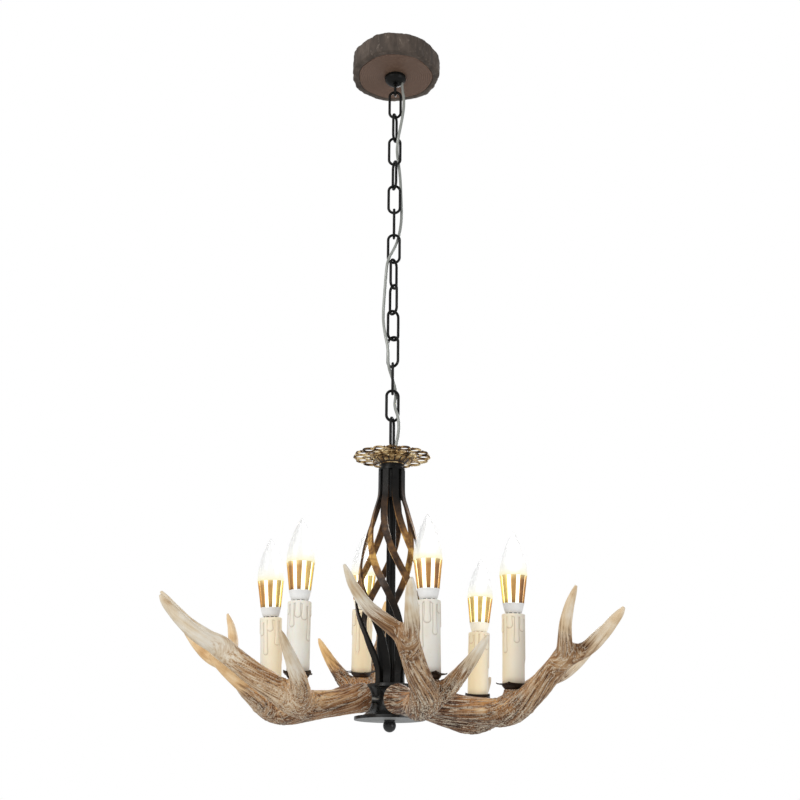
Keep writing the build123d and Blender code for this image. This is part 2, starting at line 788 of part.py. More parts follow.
def make_bulb_glass():
    """Thin flame-shaped glass, open at its foot."""
    inner_radius = sink_top_radius - bulb_glass_wall
    inner_height = bulb_glass_height - 2 * bulb_glass_wall
    outer = [(r * sink_top_radius, glass_floor + h * bulb_glass_height)
             for r, h in flame_outline]
    inner = [(r * inner_radius, glass_floor + h * inner_height) for r, h in flame_outline]
    outer_tip = (0, glass_floor + bulb_glass_height)
    inner_tip = (0, glass_floor + inner_height)
    profile = Spline(*outer, outer_tip)
    profile += Line(outer_tip, inner_tip)
    profile += Spline(inner_tip, *reversed(inner))
    profile += Line(inner[0], outer[0])
    return revolve(Plane.XZ * make_face(profile), Axis.Z)


# ---------------------------------------------------------------- build

def main():
    os.makedirs("parts", exist_ok=True)

    write("ceiling_crossbar", make_crossbar())
    write("canopy", make_canopy())
    write("canopy_fixings", make_canopy_fixings())
    write("terminal_block", make_terminal_block())
    write("collar_loop", make_collar_loop())

    link = make_link()
    for number in range(1, link_count + 1):
        write(f"chain_link_{number:02d}", link_location(number) * link)

    cable, path, radii = cord(cable_route(), cable_radius)
    write("supply_cable", cable)
    report_cord("supply cable", cable, path, radii, cable_radius)

    write("body_loop", make_body_loop())
    write("filigree_crown", make_crown())
    write("neck_cap", make_neck_cap())
    write("neck_screw", make_neck_screw())
    write("stem_tube", make_stem_tube())
    write("basket_straps", make_basket())
    write("hub_spool", make_hub())
    write("hub_cover", make_hub_cover())
    write("ball_finial", make_finial())
    write("splice_cap", make_splice_cap())
    write("m10_nipples", make_nipples())
    write("m10_nuts", make_nuts())

    antler = make_antler()
    bulb_parts = {"base": make_bulb_base(), "sink": make_bulb_sink(),
                  "glass": make_bulb_glass()}
    wires = []
    for number, seat in antler_seats.items():
        write(f"antler_{number}", antler_location(seat) * antler)
        bulb_place = lamp_location(seat) * Rot(0, 0, seat["bulb"])
        for piece, shape in bulb_parts.items():
            write(f"bulb_{piece}_{number}", bulb_place * shape)
        wire, wire_path, wire_radii = cord(wire_route(seat), wire_diameter / 2)
        report_cord(f"lamp wire {number}", wire, wire_path, wire_radii, wire_diameter / 2)
        wires.append(wire)
    write("lamp_wires", group(wires))

    stack = {"drip_pans": make_pan(), "lamp_holders": make_holder(),
             "candle_sleeves": make_sleeve()}
    for name, shape in stack.items():
        write(name, group([lamp_location(s) * shape for s in antler_seats.values()]))


main()
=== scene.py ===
from collections import namedtuple
from math import atan2, cos, exp, hypot, pi, radians, sin, sqrt

import bmesh
import bpy
import numpy as np
from mathutils import Matrix, Vector, noise


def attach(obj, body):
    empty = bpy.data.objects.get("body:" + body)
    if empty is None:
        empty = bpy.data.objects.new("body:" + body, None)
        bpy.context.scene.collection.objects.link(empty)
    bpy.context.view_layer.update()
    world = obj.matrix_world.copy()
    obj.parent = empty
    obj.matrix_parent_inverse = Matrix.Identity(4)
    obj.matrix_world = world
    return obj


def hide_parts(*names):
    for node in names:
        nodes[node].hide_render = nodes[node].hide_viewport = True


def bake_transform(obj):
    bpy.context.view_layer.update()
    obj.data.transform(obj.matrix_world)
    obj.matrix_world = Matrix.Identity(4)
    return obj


# Looks of the six-light antler chandelier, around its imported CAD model. Sizes are
# in millimetres up to the point where a mesh is made, and in metres after it.

MM = 0.001

# Heights and places repeated from the CAD source
HUB_Z = -1009.0
FIRST_SEAT = -63.0
LINK_PITCH = 41.0
LINK_COUNT = 14
CANOPY_RADIUS = 70.0
CANOPY_DEPTH_SHARE = 1.05
CANOPY_HEIGHT = 34.0
CROWN_FLOOR = 345.0
ARM_HEIGHT = 26.0
ROOT_PLACE = 46.5
LAMP_REACH = 116.0
PEDESTAL_HEIGHT = 14.5
SLEEVE_TOP = 95.5
SLEEVE_FOOT = 7.5
SLEEVE_RADIUS = 14.3
SLEEVE_BORE = 12.5
COLLAR_FOOT = 95.8
SINK_FOOT = 109.1
GLASS_FOOT = 145.1
GLASS_TOP = 203.6
CABLE_RADIUS = 2.2

# The view of the photograph, in metres and degrees
CAMERA_PLACE = (0.0107, -1.6784, -1.1477)
CAMERA_TILT, CAMERA_ROLL, LENS = 109.1, -0.4, 56.23

# Height where the lamps' glow is painted on the basket, and how far above and below it still
# shows
LAMPLIT_HEIGHT, LAMPLIT_SPREAD = -0.792, 0.062

# For each seat: the bearing of its antler, how the antler is turned and shifted in it
# (degrees and millimetres), and how far its bulb is turned.
Seat = namedtuple("Seat", "bearing swing lift roll out up bulb")
SEATS = {
    1: Seat(-45, 0.0, 0.0, 0.5, -3.0, -1.5, 20.5),
    2: Seat(15, 3.5, -1.0, 1.0, -1.9, -4.1, 4.0),
    3: Seat(75, -5.0, -2.0, 3.0, 4.1, -2.2, -6.5),
    4: Seat(135, -5.0, -3.0, 0.0, -0.3, 0.7, -20.0),
    5: Seat(-165, 1.0, 14.0, -3.0, -1.4, 4.8, 0.0),
    6: Seat(-105, 2.5, -0.5, -6.0, 1.5, 2.4, -7.0),
}

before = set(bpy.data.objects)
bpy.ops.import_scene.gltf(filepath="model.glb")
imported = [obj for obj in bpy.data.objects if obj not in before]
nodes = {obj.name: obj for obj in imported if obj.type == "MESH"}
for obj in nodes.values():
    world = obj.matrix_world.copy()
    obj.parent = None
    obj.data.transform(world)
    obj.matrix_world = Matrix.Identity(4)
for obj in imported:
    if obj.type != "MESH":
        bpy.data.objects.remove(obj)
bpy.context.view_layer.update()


def add_object(name, data):
    made = bpy.data.objects.new(name, data)
    bpy.context.scene.collection.objects.link(made)
    return made


# ---------------------------------------------------------------- camera and lights

def add_camera():
    tilt, roll = radians(CAMERA_TILT), radians(CAMERA_ROLL)
    data = bpy.data.cameras.new("camera")
    data.sensor_width = 36.0
    data.lens = LENS
    data.clip_start, data.clip_end = 0.05, 50.0
    camera = add_object("camera", data)
    along = Vector((0.0, sin(tilt), -cos(tilt)))
    turn = Matrix.Rotation(roll, 4, along) @ Matrix.Rotation(tilt, 4, "X")
    camera.matrix_world = Matrix.Translation(CAMERA_PLACE) @ turn
    bpy.context.scene.camera = camera


def add_lamp(name, place, target, size, power, colour):
    data = bpy.data.lights.new(name, "AREA")
    data.shape, data.size, data.energy, data.color = "DISK", size, power, colour
    lamp = add_object(name, data)
    lamp.location = place
    lamp.rotation_mode = "QUATERNION"
    lamp.rotation_quaternion = (Vector(target) - Vector(place)).to_track_quat("-Z", "Y")


def add_world():
    """Soft even light, and plain white where the camera or glass sees it."""
    world = bpy.data.worlds.new("studio")
    bpy.context.scene.world = world
    world.use_nodes = True
    tree = world.node_tree
    light = tree.nodes["Background"]
    light.inputs["Color"].default_value = (0.95, 0.975, 1.0, 1.0)
    light.inputs["Strength"].default_value = 0.62
    white = tree.nodes.new("ShaderNodeBackground")
    white.inputs["Color"].default_value = (1.0, 1.0, 1.0, 1.0)
    white.inputs["Strength"].default_value = 1.0
    rays = tree.nodes.new("ShaderNodeLightPath")
    seen = tree.nodes.new("ShaderNodeMath")
    seen.operation = "MAXIMUM"
    tree.links.new(rays.outputs["Is Camera Ray"], seen.inputs[0])
    tree.links.new(rays.outputs["Is Transmission Ray"], seen.inputs[1])
    mixer = tree.nodes.new("ShaderNodeMixShader")
    tree.links.new(seen.outputs[0], mixer.inputs["Fac"])
    tree.links.new(light.outputs[0], mixer.inputs[1])
    tree.links.new(white.outputs[0], mixer.inputs[2])
    tree.links.new(mixer.outputs[0], tree.nodes["World Output"].inputs["Surface"])


# ---------------------------------------------------------------- finishes

class Finish:
    """One procedural material: a Principled shader and the nodes that drive it."""

    def __init__(self, name, colour=(0.5, 0.5, 0.5), **values):
        self.material = bpy.data.materials.new(name)
        self.material.use_nodes = True
        self.tree = self.material.node_tree
        self.shader = self.tree.nodes["Principled BSDF"]
        self.shader.inputs["Base Color"].default_value = (*colour, 1.0)
        for key, value in values.items():
            self.shader.inputs[key.replace("_", " ")].default_value = value
        self.normal = None

    def node(self, kind, inputs=(), **settings):
        made = self.tree.nodes.new("ShaderNode" + kind)
        for key, value in settings.items():
            setattr(made, key, value)
        for key, value in dict(inputs).items():
            self.feed(made.inputs[key], value)
        return made

    def feed(self, socket, value):
        """Links another node's output to a socket, or sets its value."""
        if hasattr(value, "is_output"):
            self.tree.links.new(value, socket)
        else:
            socket.default_value = value

    def place(self, scale=(1.0, 1.0, 1.0), attribute=None):
        """Object coordinates, or a vector kept on the mesh, times a scale."""
        if attribute:
            source = self.node("Attribute", attribute_name=attribute).outputs["Vector"]
        else:
            source = self.node("TexCoord").outputs["Object"]
        if scale == (1.0, 1.0, 1.0):
            return source
        return self.node("Mapping", {"Vector": source, "Scale": scale}).outputs[0]

    def value(self, attribute):
        return self.node("Attribute", attribute_name=attribute).outputs["Fac"]

    def noise(self, vector, scale, detail=3.0, roughness=0.5, distortion=0.0):
        return self.node("TexNoise", {
            "Vector": vector, "Scale": scale, "Detail": detail,
            "Roughness": roughness, "Distortion": distortion}).outputs["Fac"]

    def ramp(self, factor, stops):
        made = self.node("ValToRGB", {"Fac": factor})
        ramp = made.color_ramp
        while len(ramp.elements) < len(stops):
            ramp.elements.new(0.5)
        for element, (place, colour) in zip(ramp.elements, stops):
            if not isinstance(colour, tuple):
                colour = (colour, colour, colour)
            element.position, element.color = place, (*colour, 1.0)
        return made.outputs["Color"]

    def mix(self, factor, a, b, how="MIX"):
        made = self.node("Mix", data_type="RGBA", blend_type=how)
        for index, value in ((0, factor), (6, a), (7, b)):
            self.feed(made.inputs[index], (*value, 1.0) if isinstance(value, tuple) else value)
        return made.outputs[2]

    def maths(self, operation, a, b=0.0, c=0.0):
        return self.node("Math", {0: a, 1: b, 2: c}, operation=operation).outputs[0]

    def times(self, a, b):
        return self.maths("MULTIPLY", a, b)

    def scaled(self, a, factor, extra):
        """The value a times a factor, plus something."""
        return self.maths("MULTIPLY_ADD", a, factor, extra)

    def tinted(self, factor, a, tint):
        return self.mix(factor, a, tint, "MULTIPLY")

    def remap(self, value, low, high, to_low=0.0, to_high=1.0):
        return self.node("MapRange", {
            "Value": value, "From Min": low, "From Max": high,
            "To Min": to_low, "To Max": to_high}).outputs[0]

    def bump(self, height, distance, strength=1.0):
        inputs = {"Height": height, "Distance": distance, "Strength": strength}
        if self.normal is not None:
            inputs["Normal"] = self.normal
        self.normal = self.node("Bump", inputs).outputs["Normal"]
        self.tree.links.new(self.normal, self.shader.inputs["Normal"])

    def drive(self, socket, output):
        self.tree.links.new(output, self.shader.inputs[socket])

    def done(self, colour, rough, *bumps):
        """Sets colour, roughness over the middle of a noise (or none), and bumps."""
        self.drive("Base Color", colour)
        if rough:
            self.drive("Roughness", self.remap(rough[0], 0.3, 0.7, *rough[1:]))
        for bump in bumps:
            self.bump(*bump)
        return self.material


def iron_finish(name="black_iron", smooth=0.26, rough=0.46, gloss=0.16):
    """Black powder coat over rolled iron: satin, faintly pebbled, greyer where worn."""
    f = Finish(name, (0.008, 0.008, 0.007), Roughness=0.4, Specular_IOR_Level=gloss)
    where = f.place()
    cloud = f.noise(where, 60.0, 4.0, 0.6)
    fine = f.noise(where, 900.0, 3.0, 0.6)
    f.drive("Base Color", f.ramp(cloud, (
        (0.32, (0.0035, 0.0033, 0.003)), (0.62, (0.0085, 0.0082, 0.0075)),
        (0.78, (0.02, 0.02, 0.0185)))))
    f.drive("Roughness", f.remap(cloud, 0.3, 0.75, smooth, rough))
    f.bump(cloud, 0.0009, 0.35)
    f.bump(fine, 0.00012, 0.5)
    return f


def strap_finish():
    """The same iron, with the lamps' glow painted on in gold where the basket swells out level
    with them, most on the sides facing left and right.
    """
    f = iron_finish("lamplit_iron")
    where = f.node("SeparateXYZ", {"Vector": f.place()})
    facing = f.node("SeparateXYZ", {"Vector": f.node("NewGeometry").outputs["Normal"]})
    level = f.maths("SUBTRACT", where.outputs[2], LAMPLIT_HEIGHT)
    level = f.maths("DIVIDE", level, LAMPLIT_SPREAD)
    level = f.maths("EXPONENT", f.times(f.times(level, level), -1.0))
    side = f.remap(f.maths("ABSOLUTE", facing.outputs[0]), 0.25, 0.95, 0.3, 1.0)
    patch = f.remap(f.noise(f.place(), 75.0, 3.0, 0.6), 0.35, 0.65, 0.35, 1.0)
    lit = f.times(f.times(level, side), patch)
    plain = f.shader.inputs["Base Color"].links[0].from_socket
    # painted light: this gold colour is the lamps' glow, strongest level with them, on the sides
    # facing left and right
    gilt = f.ramp(lit, ((0.0, (0.006, 0.005, 0.004)), (0.14, (0.055, 0.031, 0.018)),
                        (0.4, (0.27, 0.13, 0.04)), (0.75, (0.85, 0.52, 0.15))))
    f.drive("Base Color", f.mix(f.remap(lit, 0.0, 0.12), plain, gilt))
    return f


def steel_finish(name, colour, rough, scale):
    """Plated metal with the brushing and clouding of a small turned part."""
    f = Finish(name, colour, Metallic=1.0, Roughness=rough)
    cloud = f.noise(f.place(), scale, 4.0, 0.6)
    brush = f.noise(f.place((1.0, 1.0, 14.0)), 500.0, 2.0, 0.5)
    darker = tuple(c * 0.55 for c in colour)
    return f.done(f.mix(f.remap(cloud, 0.3, 0.7), darker, colour),
                  (brush, rough * 0.75, rough * 1.35), (brush, 0.0001, 0.3))


def cover_finish():
    """Grey satin plate, brushed along one way, with a few handling marks."""
    f = Finish("grey_cover", (0.24, 0.24, 0.235), Metallic=0.25, Roughness=0.5)
    grain = f.noise(f.place((1.0, 30.0, 1.0)), 120.0, 4.0, 0.6)
    cloud = f.noise(f.place(), 35.0)
    tone = f.mix(f.remap(grain, 0.3, 0.7), (0.205, 0.205, 0.2), (0.265, 0.265, 0.26))
    tone = f.mix(f.remap(cloud, 0.35, 0.75, 0.0, 0.5), tone, (0.3, 0.3, 0.292))
    return f.done(tone, (grain, 0.42, 0.58), (grain, 0.00008, 0.4))


def plastic_finish(name, colour, rough, lamplit=False):
    f = Finish(name, colour, Roughness=rough)
    cloud = f.noise(f.place(), 90.0)
    fine = f.noise(f.place(), 1400.0, 2.0)
    darker = tuple(c * 0.86 for c in colour)
    tone = f.mix(f.remap(cloud, 0.3, 0.7), darker, colour)
    if lamplit:
        # painted light: the lamp's yellow glow on the collar, plus an emission that makes it
        # glow though it is no lamp
        tone = f.mix(f.value("warm"), tone, (0.98, 0.88, 0.66))
        f.shader.inputs["Emission Color"].default_value = (1.0, 0.93, 0.75, 1.0)
        f.drive("Emission Strength", f.times(f.value("warm"), 0.4))
    return f.done(tone, (fine, rough * 0.85, rough * 1.2), (fine, 0.00005, 0.3))


def cable_finish():
    """Clear sheath over twisted tinned strands."""
    f = Finish("clear_cable", (0.4, 0.41, 0.385), Roughness=0.22, Coat_Weight=0.5)
    lay = f.place(attribute="lay")
    strands = f.node("TexWave", {"Vector": lay, "Scale": 0.5, "Distortion": 1.2,
                                 "Detail": 1.0}, bands_direction="DIAGONAL")
    cloud = f.noise(lay, 0.22, 3.0, 0.6)
    tone = f.mix(f.remap(strands.outputs["Fac"], 0.1, 0.9), (0.25, 0.26, 0.235),
                 (0.38, 0.385, 0.36))
    tone = f.mix(f.remap(cloud, 0.4, 0.7, 0.0, 0.55), tone, (0.22, 0.23, 0.2))
    return f.done(tone, None, (cloud, 0.0004, 0.25))


def gold_finish():
    """Antique gilt brass: brown lacquer in the recesses, and pale gold on the wires, partly a
    painted highlight.
    """
    f = Finish("antique_gold", (0.55, 0.36, 0.15), Metallic=0.6, Roughness=0.34)
    where = f.place()
    cloud = f.noise(where, 130.0, 2.0)
    fine = f.noise(where, 700.0, 3.0, 0.6)
    recess = f.value("recess")
    tone = f.ramp(cloud, ((0.36, (0.04, 0.02, 0.008)), (0.46, (0.2, 0.11, 0.035)),
                          (0.54, (0.5, 0.3, 0.11)), (0.66, (0.86, 0.66, 0.34))))
    # pale gold on the wires: brighter gilt together with a painted highlight
    wire = f.times(f.remap(recess, 0.0, 0.02, 0.6, 0.0), f.remap(cloud, 0.48, 0.6))
    tone = f.mix(wire, tone, (0.92, 0.76, 0.46))
    tone = f.mix(f.remap(recess, 0.05, 0.6), tone, (0.02, 0.011, 0.006))
    return f.done(tone, (cloud, 0.42, 0.26), (fine, 0.0002, 0.5))


def bronze_finish():
    f = Finish("dark_bronze", (0.03, 0.017, 0.01), Metallic=0.35, Roughness=0.42)
    where = f.place()
    cloud = f.noise(where, 120.0, 4.0, 0.65)
    fine = f.noise(where, 900.0, 3.0, 0.6)
    tone = f.ramp(cloud, ((0.3, (0.012, 0.007, 0.0045)), (0.6, (0.036, 0.019, 0.01)),
                          (0.8, (0.105, 0.052, 0.022))))
    return f.done(tone, (cloud, 0.34, 0.55), (fine, 0.00025, 0.5))


def antler_finish():
    """Hand-painted cast resin: brown with dark grooves, dry-brushed cream, ivory tips; the
    lamps' light and the shade underneath are painted in as well.
    """
    f = Finish("antler_resin", (0.3, 0.2, 0.12), Roughness=0.45, Specular_IOR_Level=0.18)
    flow = f.place(attribute="flow")
    solid = f.place(attribute="solid")
    groove, tip = f.value("groove"), f.value("tip")
    pearl, glow, root_and_shade = f.value("pearl"), f.value("glow"), f.value("root_and_shade")
    mood = f.node("SeparateXYZ", {"Vector": f.place(attribute="mood")})
    streak = f.noise(flow, 0.34, 3.0, 0.6)
    hair = f.noise(flow, 1.9, 2.0)
    patch = f.noise(solid, 0.035, 2.0)
    speck = f.noise(solid, 0.62, 3.0, 0.6, 0.5)
    light = f.scaled(streak, 1.15, -0.33)
    light = f.scaled(hair, 0.36, f.maths("ADD", light, 0.07))
    light = f.scaled(patch, 0.6, f.maths("SUBTRACT", light, 0.28))
    light = f.maths("ADD", f.scaled(groove, -0.42, light), mood.outputs[0])
    light = f.scaled(root_and_shade, -0.16, light)
    paint = f.ramp(light, (
        (0.05, (0.05, 0.02, 0.008)), (0.25, (0.155, 0.072, 0.029)),
        (0.42, (0.3, 0.158, 0.07)), (0.56, (0.44, 0.268, 0.138)),
        (0.7, (0.58, 0.42, 0.265)), (0.86, (0.74, 0.63, 0.48))))
    seam = f.maths("ABSOLUTE", f.maths("SUBTRACT", f.noise(flow, 0.26, 2.0), 0.5))
    seam = f.times(f.remap(seam, 0.01, 0.05, 1.0, 0.0), f.remap(speck, 0.36, 0.52))
    # darker paint near the hub, with painted shade on the undersides
    paint = f.tinted(root_and_shade, paint, (0.62, 0.47, 0.36))
    # painted light: the lamps' yellow light on the tops of the beam near them
    glowing_paint = f.tinted(glow, paint, (1.65, 1.32, 0.85))
    fleck = f.times(f.remap(speck, 0.53, 0.6), pearl)
    glowing_paint = f.mix(f.times(fleck, 0.75), glowing_paint, (0.66, 0.56, 0.42))
    glowing_paint = f.mix(f.times(seam, 0.8), glowing_paint, (0.7, 0.6, 0.46))
    bone = f.ramp(f.scaled(patch, 0.9, f.scaled(streak, 0.5, -0.2)), (
            (0.3, (0.58, 0.43, 0.27)), (0.46, (0.74, 0.63, 0.47)),
            (0.6, (0.83, 0.765, 0.65)), (0.75, (0.87, 0.84, 0.77))))
    bone = f.mix(f.remap(hair, 0.35, 0.7, 0.0, 0.25), bone, (0.52, 0.39, 0.25))
    # painted light: yellow light from the lamps behind, on the tines
    bone = f.tinted(mood.outputs[1], bone, (1.12, 0.82, 0.47))
    bare = f.scaled(f.maths("SUBTRACT", streak, 0.5), 1.3, tip)
    bare = f.scaled(f.maths("SUBTRACT", hair, 0.5), 0.5, bare)
    return f.done(f.mix(f.remap(bare, 0.3, 0.75), glowing_paint, bone), (streak, 0.36, 0.56),
                  (streak, 0.0009, 0.3), (speck, 0.0005, 0.25))


def wood_finish():
    """End grain of the canopy: rings round an off-centre pith, with checks."""
    f = Finish("canopy_rings", (0.13, 0.07, 0.045), Roughness=0.62)
    where = f.place((1.0, 1.0, 0.25))
    bend = f.noise(where, 14.0, 3.0, 0.55)
    rings = f.node("TexWave", {"Vector": where, "Scale": 95.0, "Distortion": 4.5,
                               "Detail": 3.0, "Detail Scale": 1.4}, wave_type="RINGS",
                   rings_direction="Z", wave_profile="SAW").outputs["Fac"]
    fine = f.noise(where, 260.0, 4.0, 0.65)
    tone = f.ramp(rings, ((0.0, (0.05, 0.023, 0.014)), (0.35, (0.12, 0.06, 0.038)),
                          (0.8, (0.18, 0.1, 0.064)), (1.0, (0.3, 0.19, 0.125))))
    tone = f.mix(f.remap(bend, 0.35, 0.7, 0.0, 0.6), tone, (0.105, 0.056, 0.03))
    tone = f.mix(f.remap(fine, 0.5, 0.75, 0.0, 0.5), tone, (0.25, 0.165, 0.12))
    return f.done(tone, None, (rings, 0.0006, 0.5), (fine, 0.0004, 0.5))


def bark_finish():
    """Weathered bark with pale scratches across it."""
    f = Finish("canopy_bark", (0.07, 0.05, 0.036), Roughness=0.75)
    flow = f.place((1.0, 1.0, 0.28))
    cloud = f.noise(flow, 60.0, 5.0, 0.65)
    scratch = f.noise(flow, 210.0, 4.0, 0.7, 0.8)
    tone = f.ramp(cloud, ((0.3, (0.03, 0.021, 0.015)), (0.52, (0.068, 0.048, 0.035)),
                          (0.72, (0.125, 0.092, 0.07))))
    tone = f.mix(f.remap(scratch, 0.58, 0.72, 0.0, 0.75), tone, (0.25, 0.2, 0.16))
    return f.done(tone, None, (cloud, 0.0022, 0.7), (scratch, 0.001, 0.5))


def wax_finish():
    """Ivory resin cast as wax, with painted shade along the edges of the runs, the lamps' yellow
    light painted on where they shine, and painted shade on the side they miss.
    """
    f = Finish("candle_ivory", (0.82, 0.76, 0.64), Roughness=0.45,
               Subsurface_Weight=0.1, Subsurface_Scale=0.004,
               Specular_IOR_Level=0.35)
    where = f.place()
    cloud = f.noise(where, 30.0)
    speck = f.noise(where, 420.0, 4.0, 0.6)
    run, edge, warm, shade = f.value("run"), f.value("edge"), f.value("warm"), f.value("shade")
    tone = f.ramp(cloud, ((0.3, (0.8, 0.75, 0.65)), (0.5, (0.85, 0.815, 0.735)),
                          (0.7, (0.87, 0.85, 0.8))))
    # painted light: the lamps' yellow light on the side of the sleeve facing them
    tone = f.mix(warm, tone, (0.96, 0.76, 0.44))
    # painted shade: brown on the side of the sleeve that the lamps miss
    tone = f.mix(shade, tone, (0.5, 0.395, 0.27))
    tone = f.mix(f.remap(run, 0.1, 0.9, 0.0, 0.35), tone, (0.88, 0.82, 0.7))
    # painted shade: darker lines just outside the raised runs, and at the foot where the sleeve
    # stands in the pan
    tone = f.mix(f.times(edge, 0.68), tone, (0.36, 0.28, 0.19))
    tone = f.mix(f.remap(speck, 0.6, 0.75, 0.0, 0.2), tone, (0.6, 0.49, 0.33))
    # painted light: the lit side glows though the sleeve is no lamp
    f.shader.inputs["Emission Color"].default_value = (1.0, 0.82, 0.55, 1.0)
    f.drive("Emission Strength", f.times(warm, 0.24))
    return f.done(tone, (cloud, 0.38, 0.52), (speck, 0.0002, 0.3))


def core_finish():
    """The lit inside of the bulb, seen between the bars."""
    f = Finish("bulb_core_light", (1.0, 0.97, 0.88), Roughness=0.4, Emission_Strength=1.5)
    cloud = f.noise(f.place(), 120.0, 2.0)
    f.drive("Emission Color", f.ramp(cloud, ((0.3, (1.0, 0.93, 0.58)), (0.7, (1.0, 0.96, 0.7)))))
    return f.material


def brass_finish():
    """Lacquered brass bars of the bulb, brown outside, with the other lamps' light painted
    yellow on the side towards them.
    """
    f = Finish("bulb_brass", (0.5, 0.26, 0.07), Metallic=0.2, Roughness=0.4)
    where = f.place()
    cloud = f.noise(where, 90.0, 3.0, 0.55)
    brush = f.noise(f.place((1.0, 1.0, 0.05)), 1100.0, 2.0, 0.5)
    tone, lip = f.value("tone"), f.value("lip")
    level = f.scaled(cloud, 0.3, f.maths("SUBTRACT", tone, 0.15))
    paint = f.ramp(level, (
        (0.05, (0.17, 0.06, 0.02)), (0.35, (0.5, 0.24, 0.065)),
        (0.62, (0.74, 0.46, 0.15)), (0.95, (1.0, 0.78, 0.24))))
    paint = f.tinted(f.remap(brush, 0.35, 0.7, 0.0, 0.3), paint, (0.55, 0.5, 0.45))
    paint = f.mix(f.remap(lip, 0.0, 0.14, 0.55, 0.0), paint, (0.06, 0.022, 0.01))
    paint = f.mix(f.remap(lip, 0.8, 1.0, 0.0, 0.7), paint, (0.95, 0.74, 0.34))
    return f.done(paint, (brush, 0.34, 0.5), (brush, 0.0001, 0.4))


def glass_finish():
    """Clear flame of glass with a pale glow just above the bars."""
    f = Finish("bulb_glass", (0.99, 0.995, 0.985), Roughness=0.03, IOR=1.45,
               Transmission_Weight=1.0)
    height = f.value("height")
    wisp = f.noise(f.place(), 60.0, 2.0)
    glow = f.node("Emission", {"Strength": 1.0})
    tree = f.tree
    tree.links.new(f.ramp(height, ((0.0, (1.0, 0.94, 0.62)), (0.12, (1.0, 0.98, 0.86)),
                                   (0.4, (1.0, 1.0, 0.98)))), glow.inputs["Color"])
    clear = f.node("BsdfTransparent")
    fade = f.times(f.ramp(height, (
        (0.0, 0.7), (0.14, 0.42), (0.35, 0.12), (1.0, 0.03))),
        f.remap(wisp, 0.3, 0.7, 0.85, 1.0))
    shell = f.node("MixShader", {"Fac": 0.22})
    tree.links.new(clear.outputs[0], shell.inputs[1])
    tree.links.new(f.shader.outputs[0], shell.inputs[2])
    lit = f.node("MixShader", {"Fac": fade})
    tree.links.new(shell.outputs[0], lit.inputs[1])
    tree.links.new(glow.outputs[0], lit.inputs[2])
    tree.links.new(lit.outputs[0], tree.nodes["Material Output"].inputs["Surface"])
    return f.material


# ---------------------------------------------------------------- mesh tools

def smoothstep(low, high, x):
    t = np.clip((np.asarray(x, float) - low) / (high - low), 0.0, 1.0)
    return t * t * (3 - 2 * t)


def keep_values(mesh, key, values):
    """Keeps a number or a vector for each point of a mesh."""
    values = np.asarray(values, np.float32)
    kind, slot = ("FLOAT", "value") if values.ndim == 1 else ("FLOAT_VECTOR", "vector")
    mesh.attributes.new(key, kind, "POINT").data.foreach_set(slot, values.ravel())


class Form:
    """Closed shells gathered into one mesh, with a finish number for each face."""

    def __init__(self):
        self.verts, self.faces, self.marks = [], [], []
        self.values = {}

    def add(self, verts, faces, mark=0, place=None, **values):
        start = len(self.verts)
        if place is not None:
            verts = [place @ Vector(v) for v in verts]
        self.verts += [tuple(v) for v in verts]
        self.faces += [tuple(start + i for i in face) for face in faces]
        self.marks += [mark] * len(faces) if isinstance(mark, int) else list(mark)
        for name in set(values) | set(self.values):
            kept = self.values.setdefault(name, [0.0] * start)
            given = values.get(name, 0.0)
            kept += [given] * len(verts) if np.isscalar(given) else list(given)
        return self

    def make(self, name, finishes, angle=40.0):
        mesh = bpy.data.meshes.new(name)
        mesh.from_pydata([[c * MM for c in v] for v in self.verts], [], self.faces)
        for finish in finishes:
            mesh.materials.append(finish)
        mesh.polygons.foreach_set("material_index", self.marks)
        for key, values in self.values.items():
            keep_values(mesh, key, values)
        outward(mesh)
        mesh.set_sharp_from_angle(angle=radians(angle))
        return add_object(name, mesh)


def outward(mesh):
    """Turns every face of each closed shell outward, and shades it smooth."""
    work = bmesh.new()
    work.from_mesh(mesh)
    bmesh.ops.recalc_face_normals(work, faces=work.faces)
    work.to_mesh(mesh)
    work.free()
    mesh.polygons.foreach_set("use_smooth", [True] * len(mesh.polygons))


def revolve(outline, steps, warp=None):
    """Closed shell from a closed outline of (radius, height) turned about Z."""
    verts, rings, faces, rows = [], [], [], []
    for r, z in outline:
        if r == 0:
            rings.append([len(verts)])
            verts.append((0.0, 0.0, z))
            continue
        rings.append(list(range(len(verts), len(verts) + steps)))
        for i in range(steps):
            a = 2 * pi * i / steps
            reach, height = warp(r, z, a) if warp else (r, z)
            verts.append((reach * cos(a), reach * sin(a), height))
    for row, (low, high) in enumerate(zip(rings, rings[1:] + rings[:1])):
        if len(low) == 1 and len(high) == 1:
            continue
        for i in range(steps):
            j = (i + 1) % steps
            if len(low) == 1:
                faces.append((low[0], high[j], high[i]))
            elif len(high) == 1:
                faces.append((low[i], low[j], high[0]))
            else:
                faces.append((low[i], low[j], high[j], high[i]))
            rows.append(row)
    return verts, faces, rows


def lathe(outline, steps):
    verts, faces, _ = revolve(outline, steps)
    return verts, faces


def circle(radius, height=0.0, count=26):
    turns = np.arange(count) * 2 * np.pi / count
    return [(radius * cos(a), radius * sin(a), height) for a in turns]


def tube_faces(rows, sides, closed=False):
    """Quads between the neighbouring rings of a tube."""
    faces = []
    for k in range(rows if closed else rows - 1):
        a, b = k * sides, (k + 1) % rows * sides
        for i in range(sides):
            j = (i + 1) % sides
            faces.append((a + i, a + j, b + j, b + i))
    return faces


def lengths(line):
    """How far along a line each of its points lies."""
    steps = np.linalg.norm(np.diff(line, axis=0), axis=1)
    return np.concatenate([[0.0], np.cumsum(steps)])


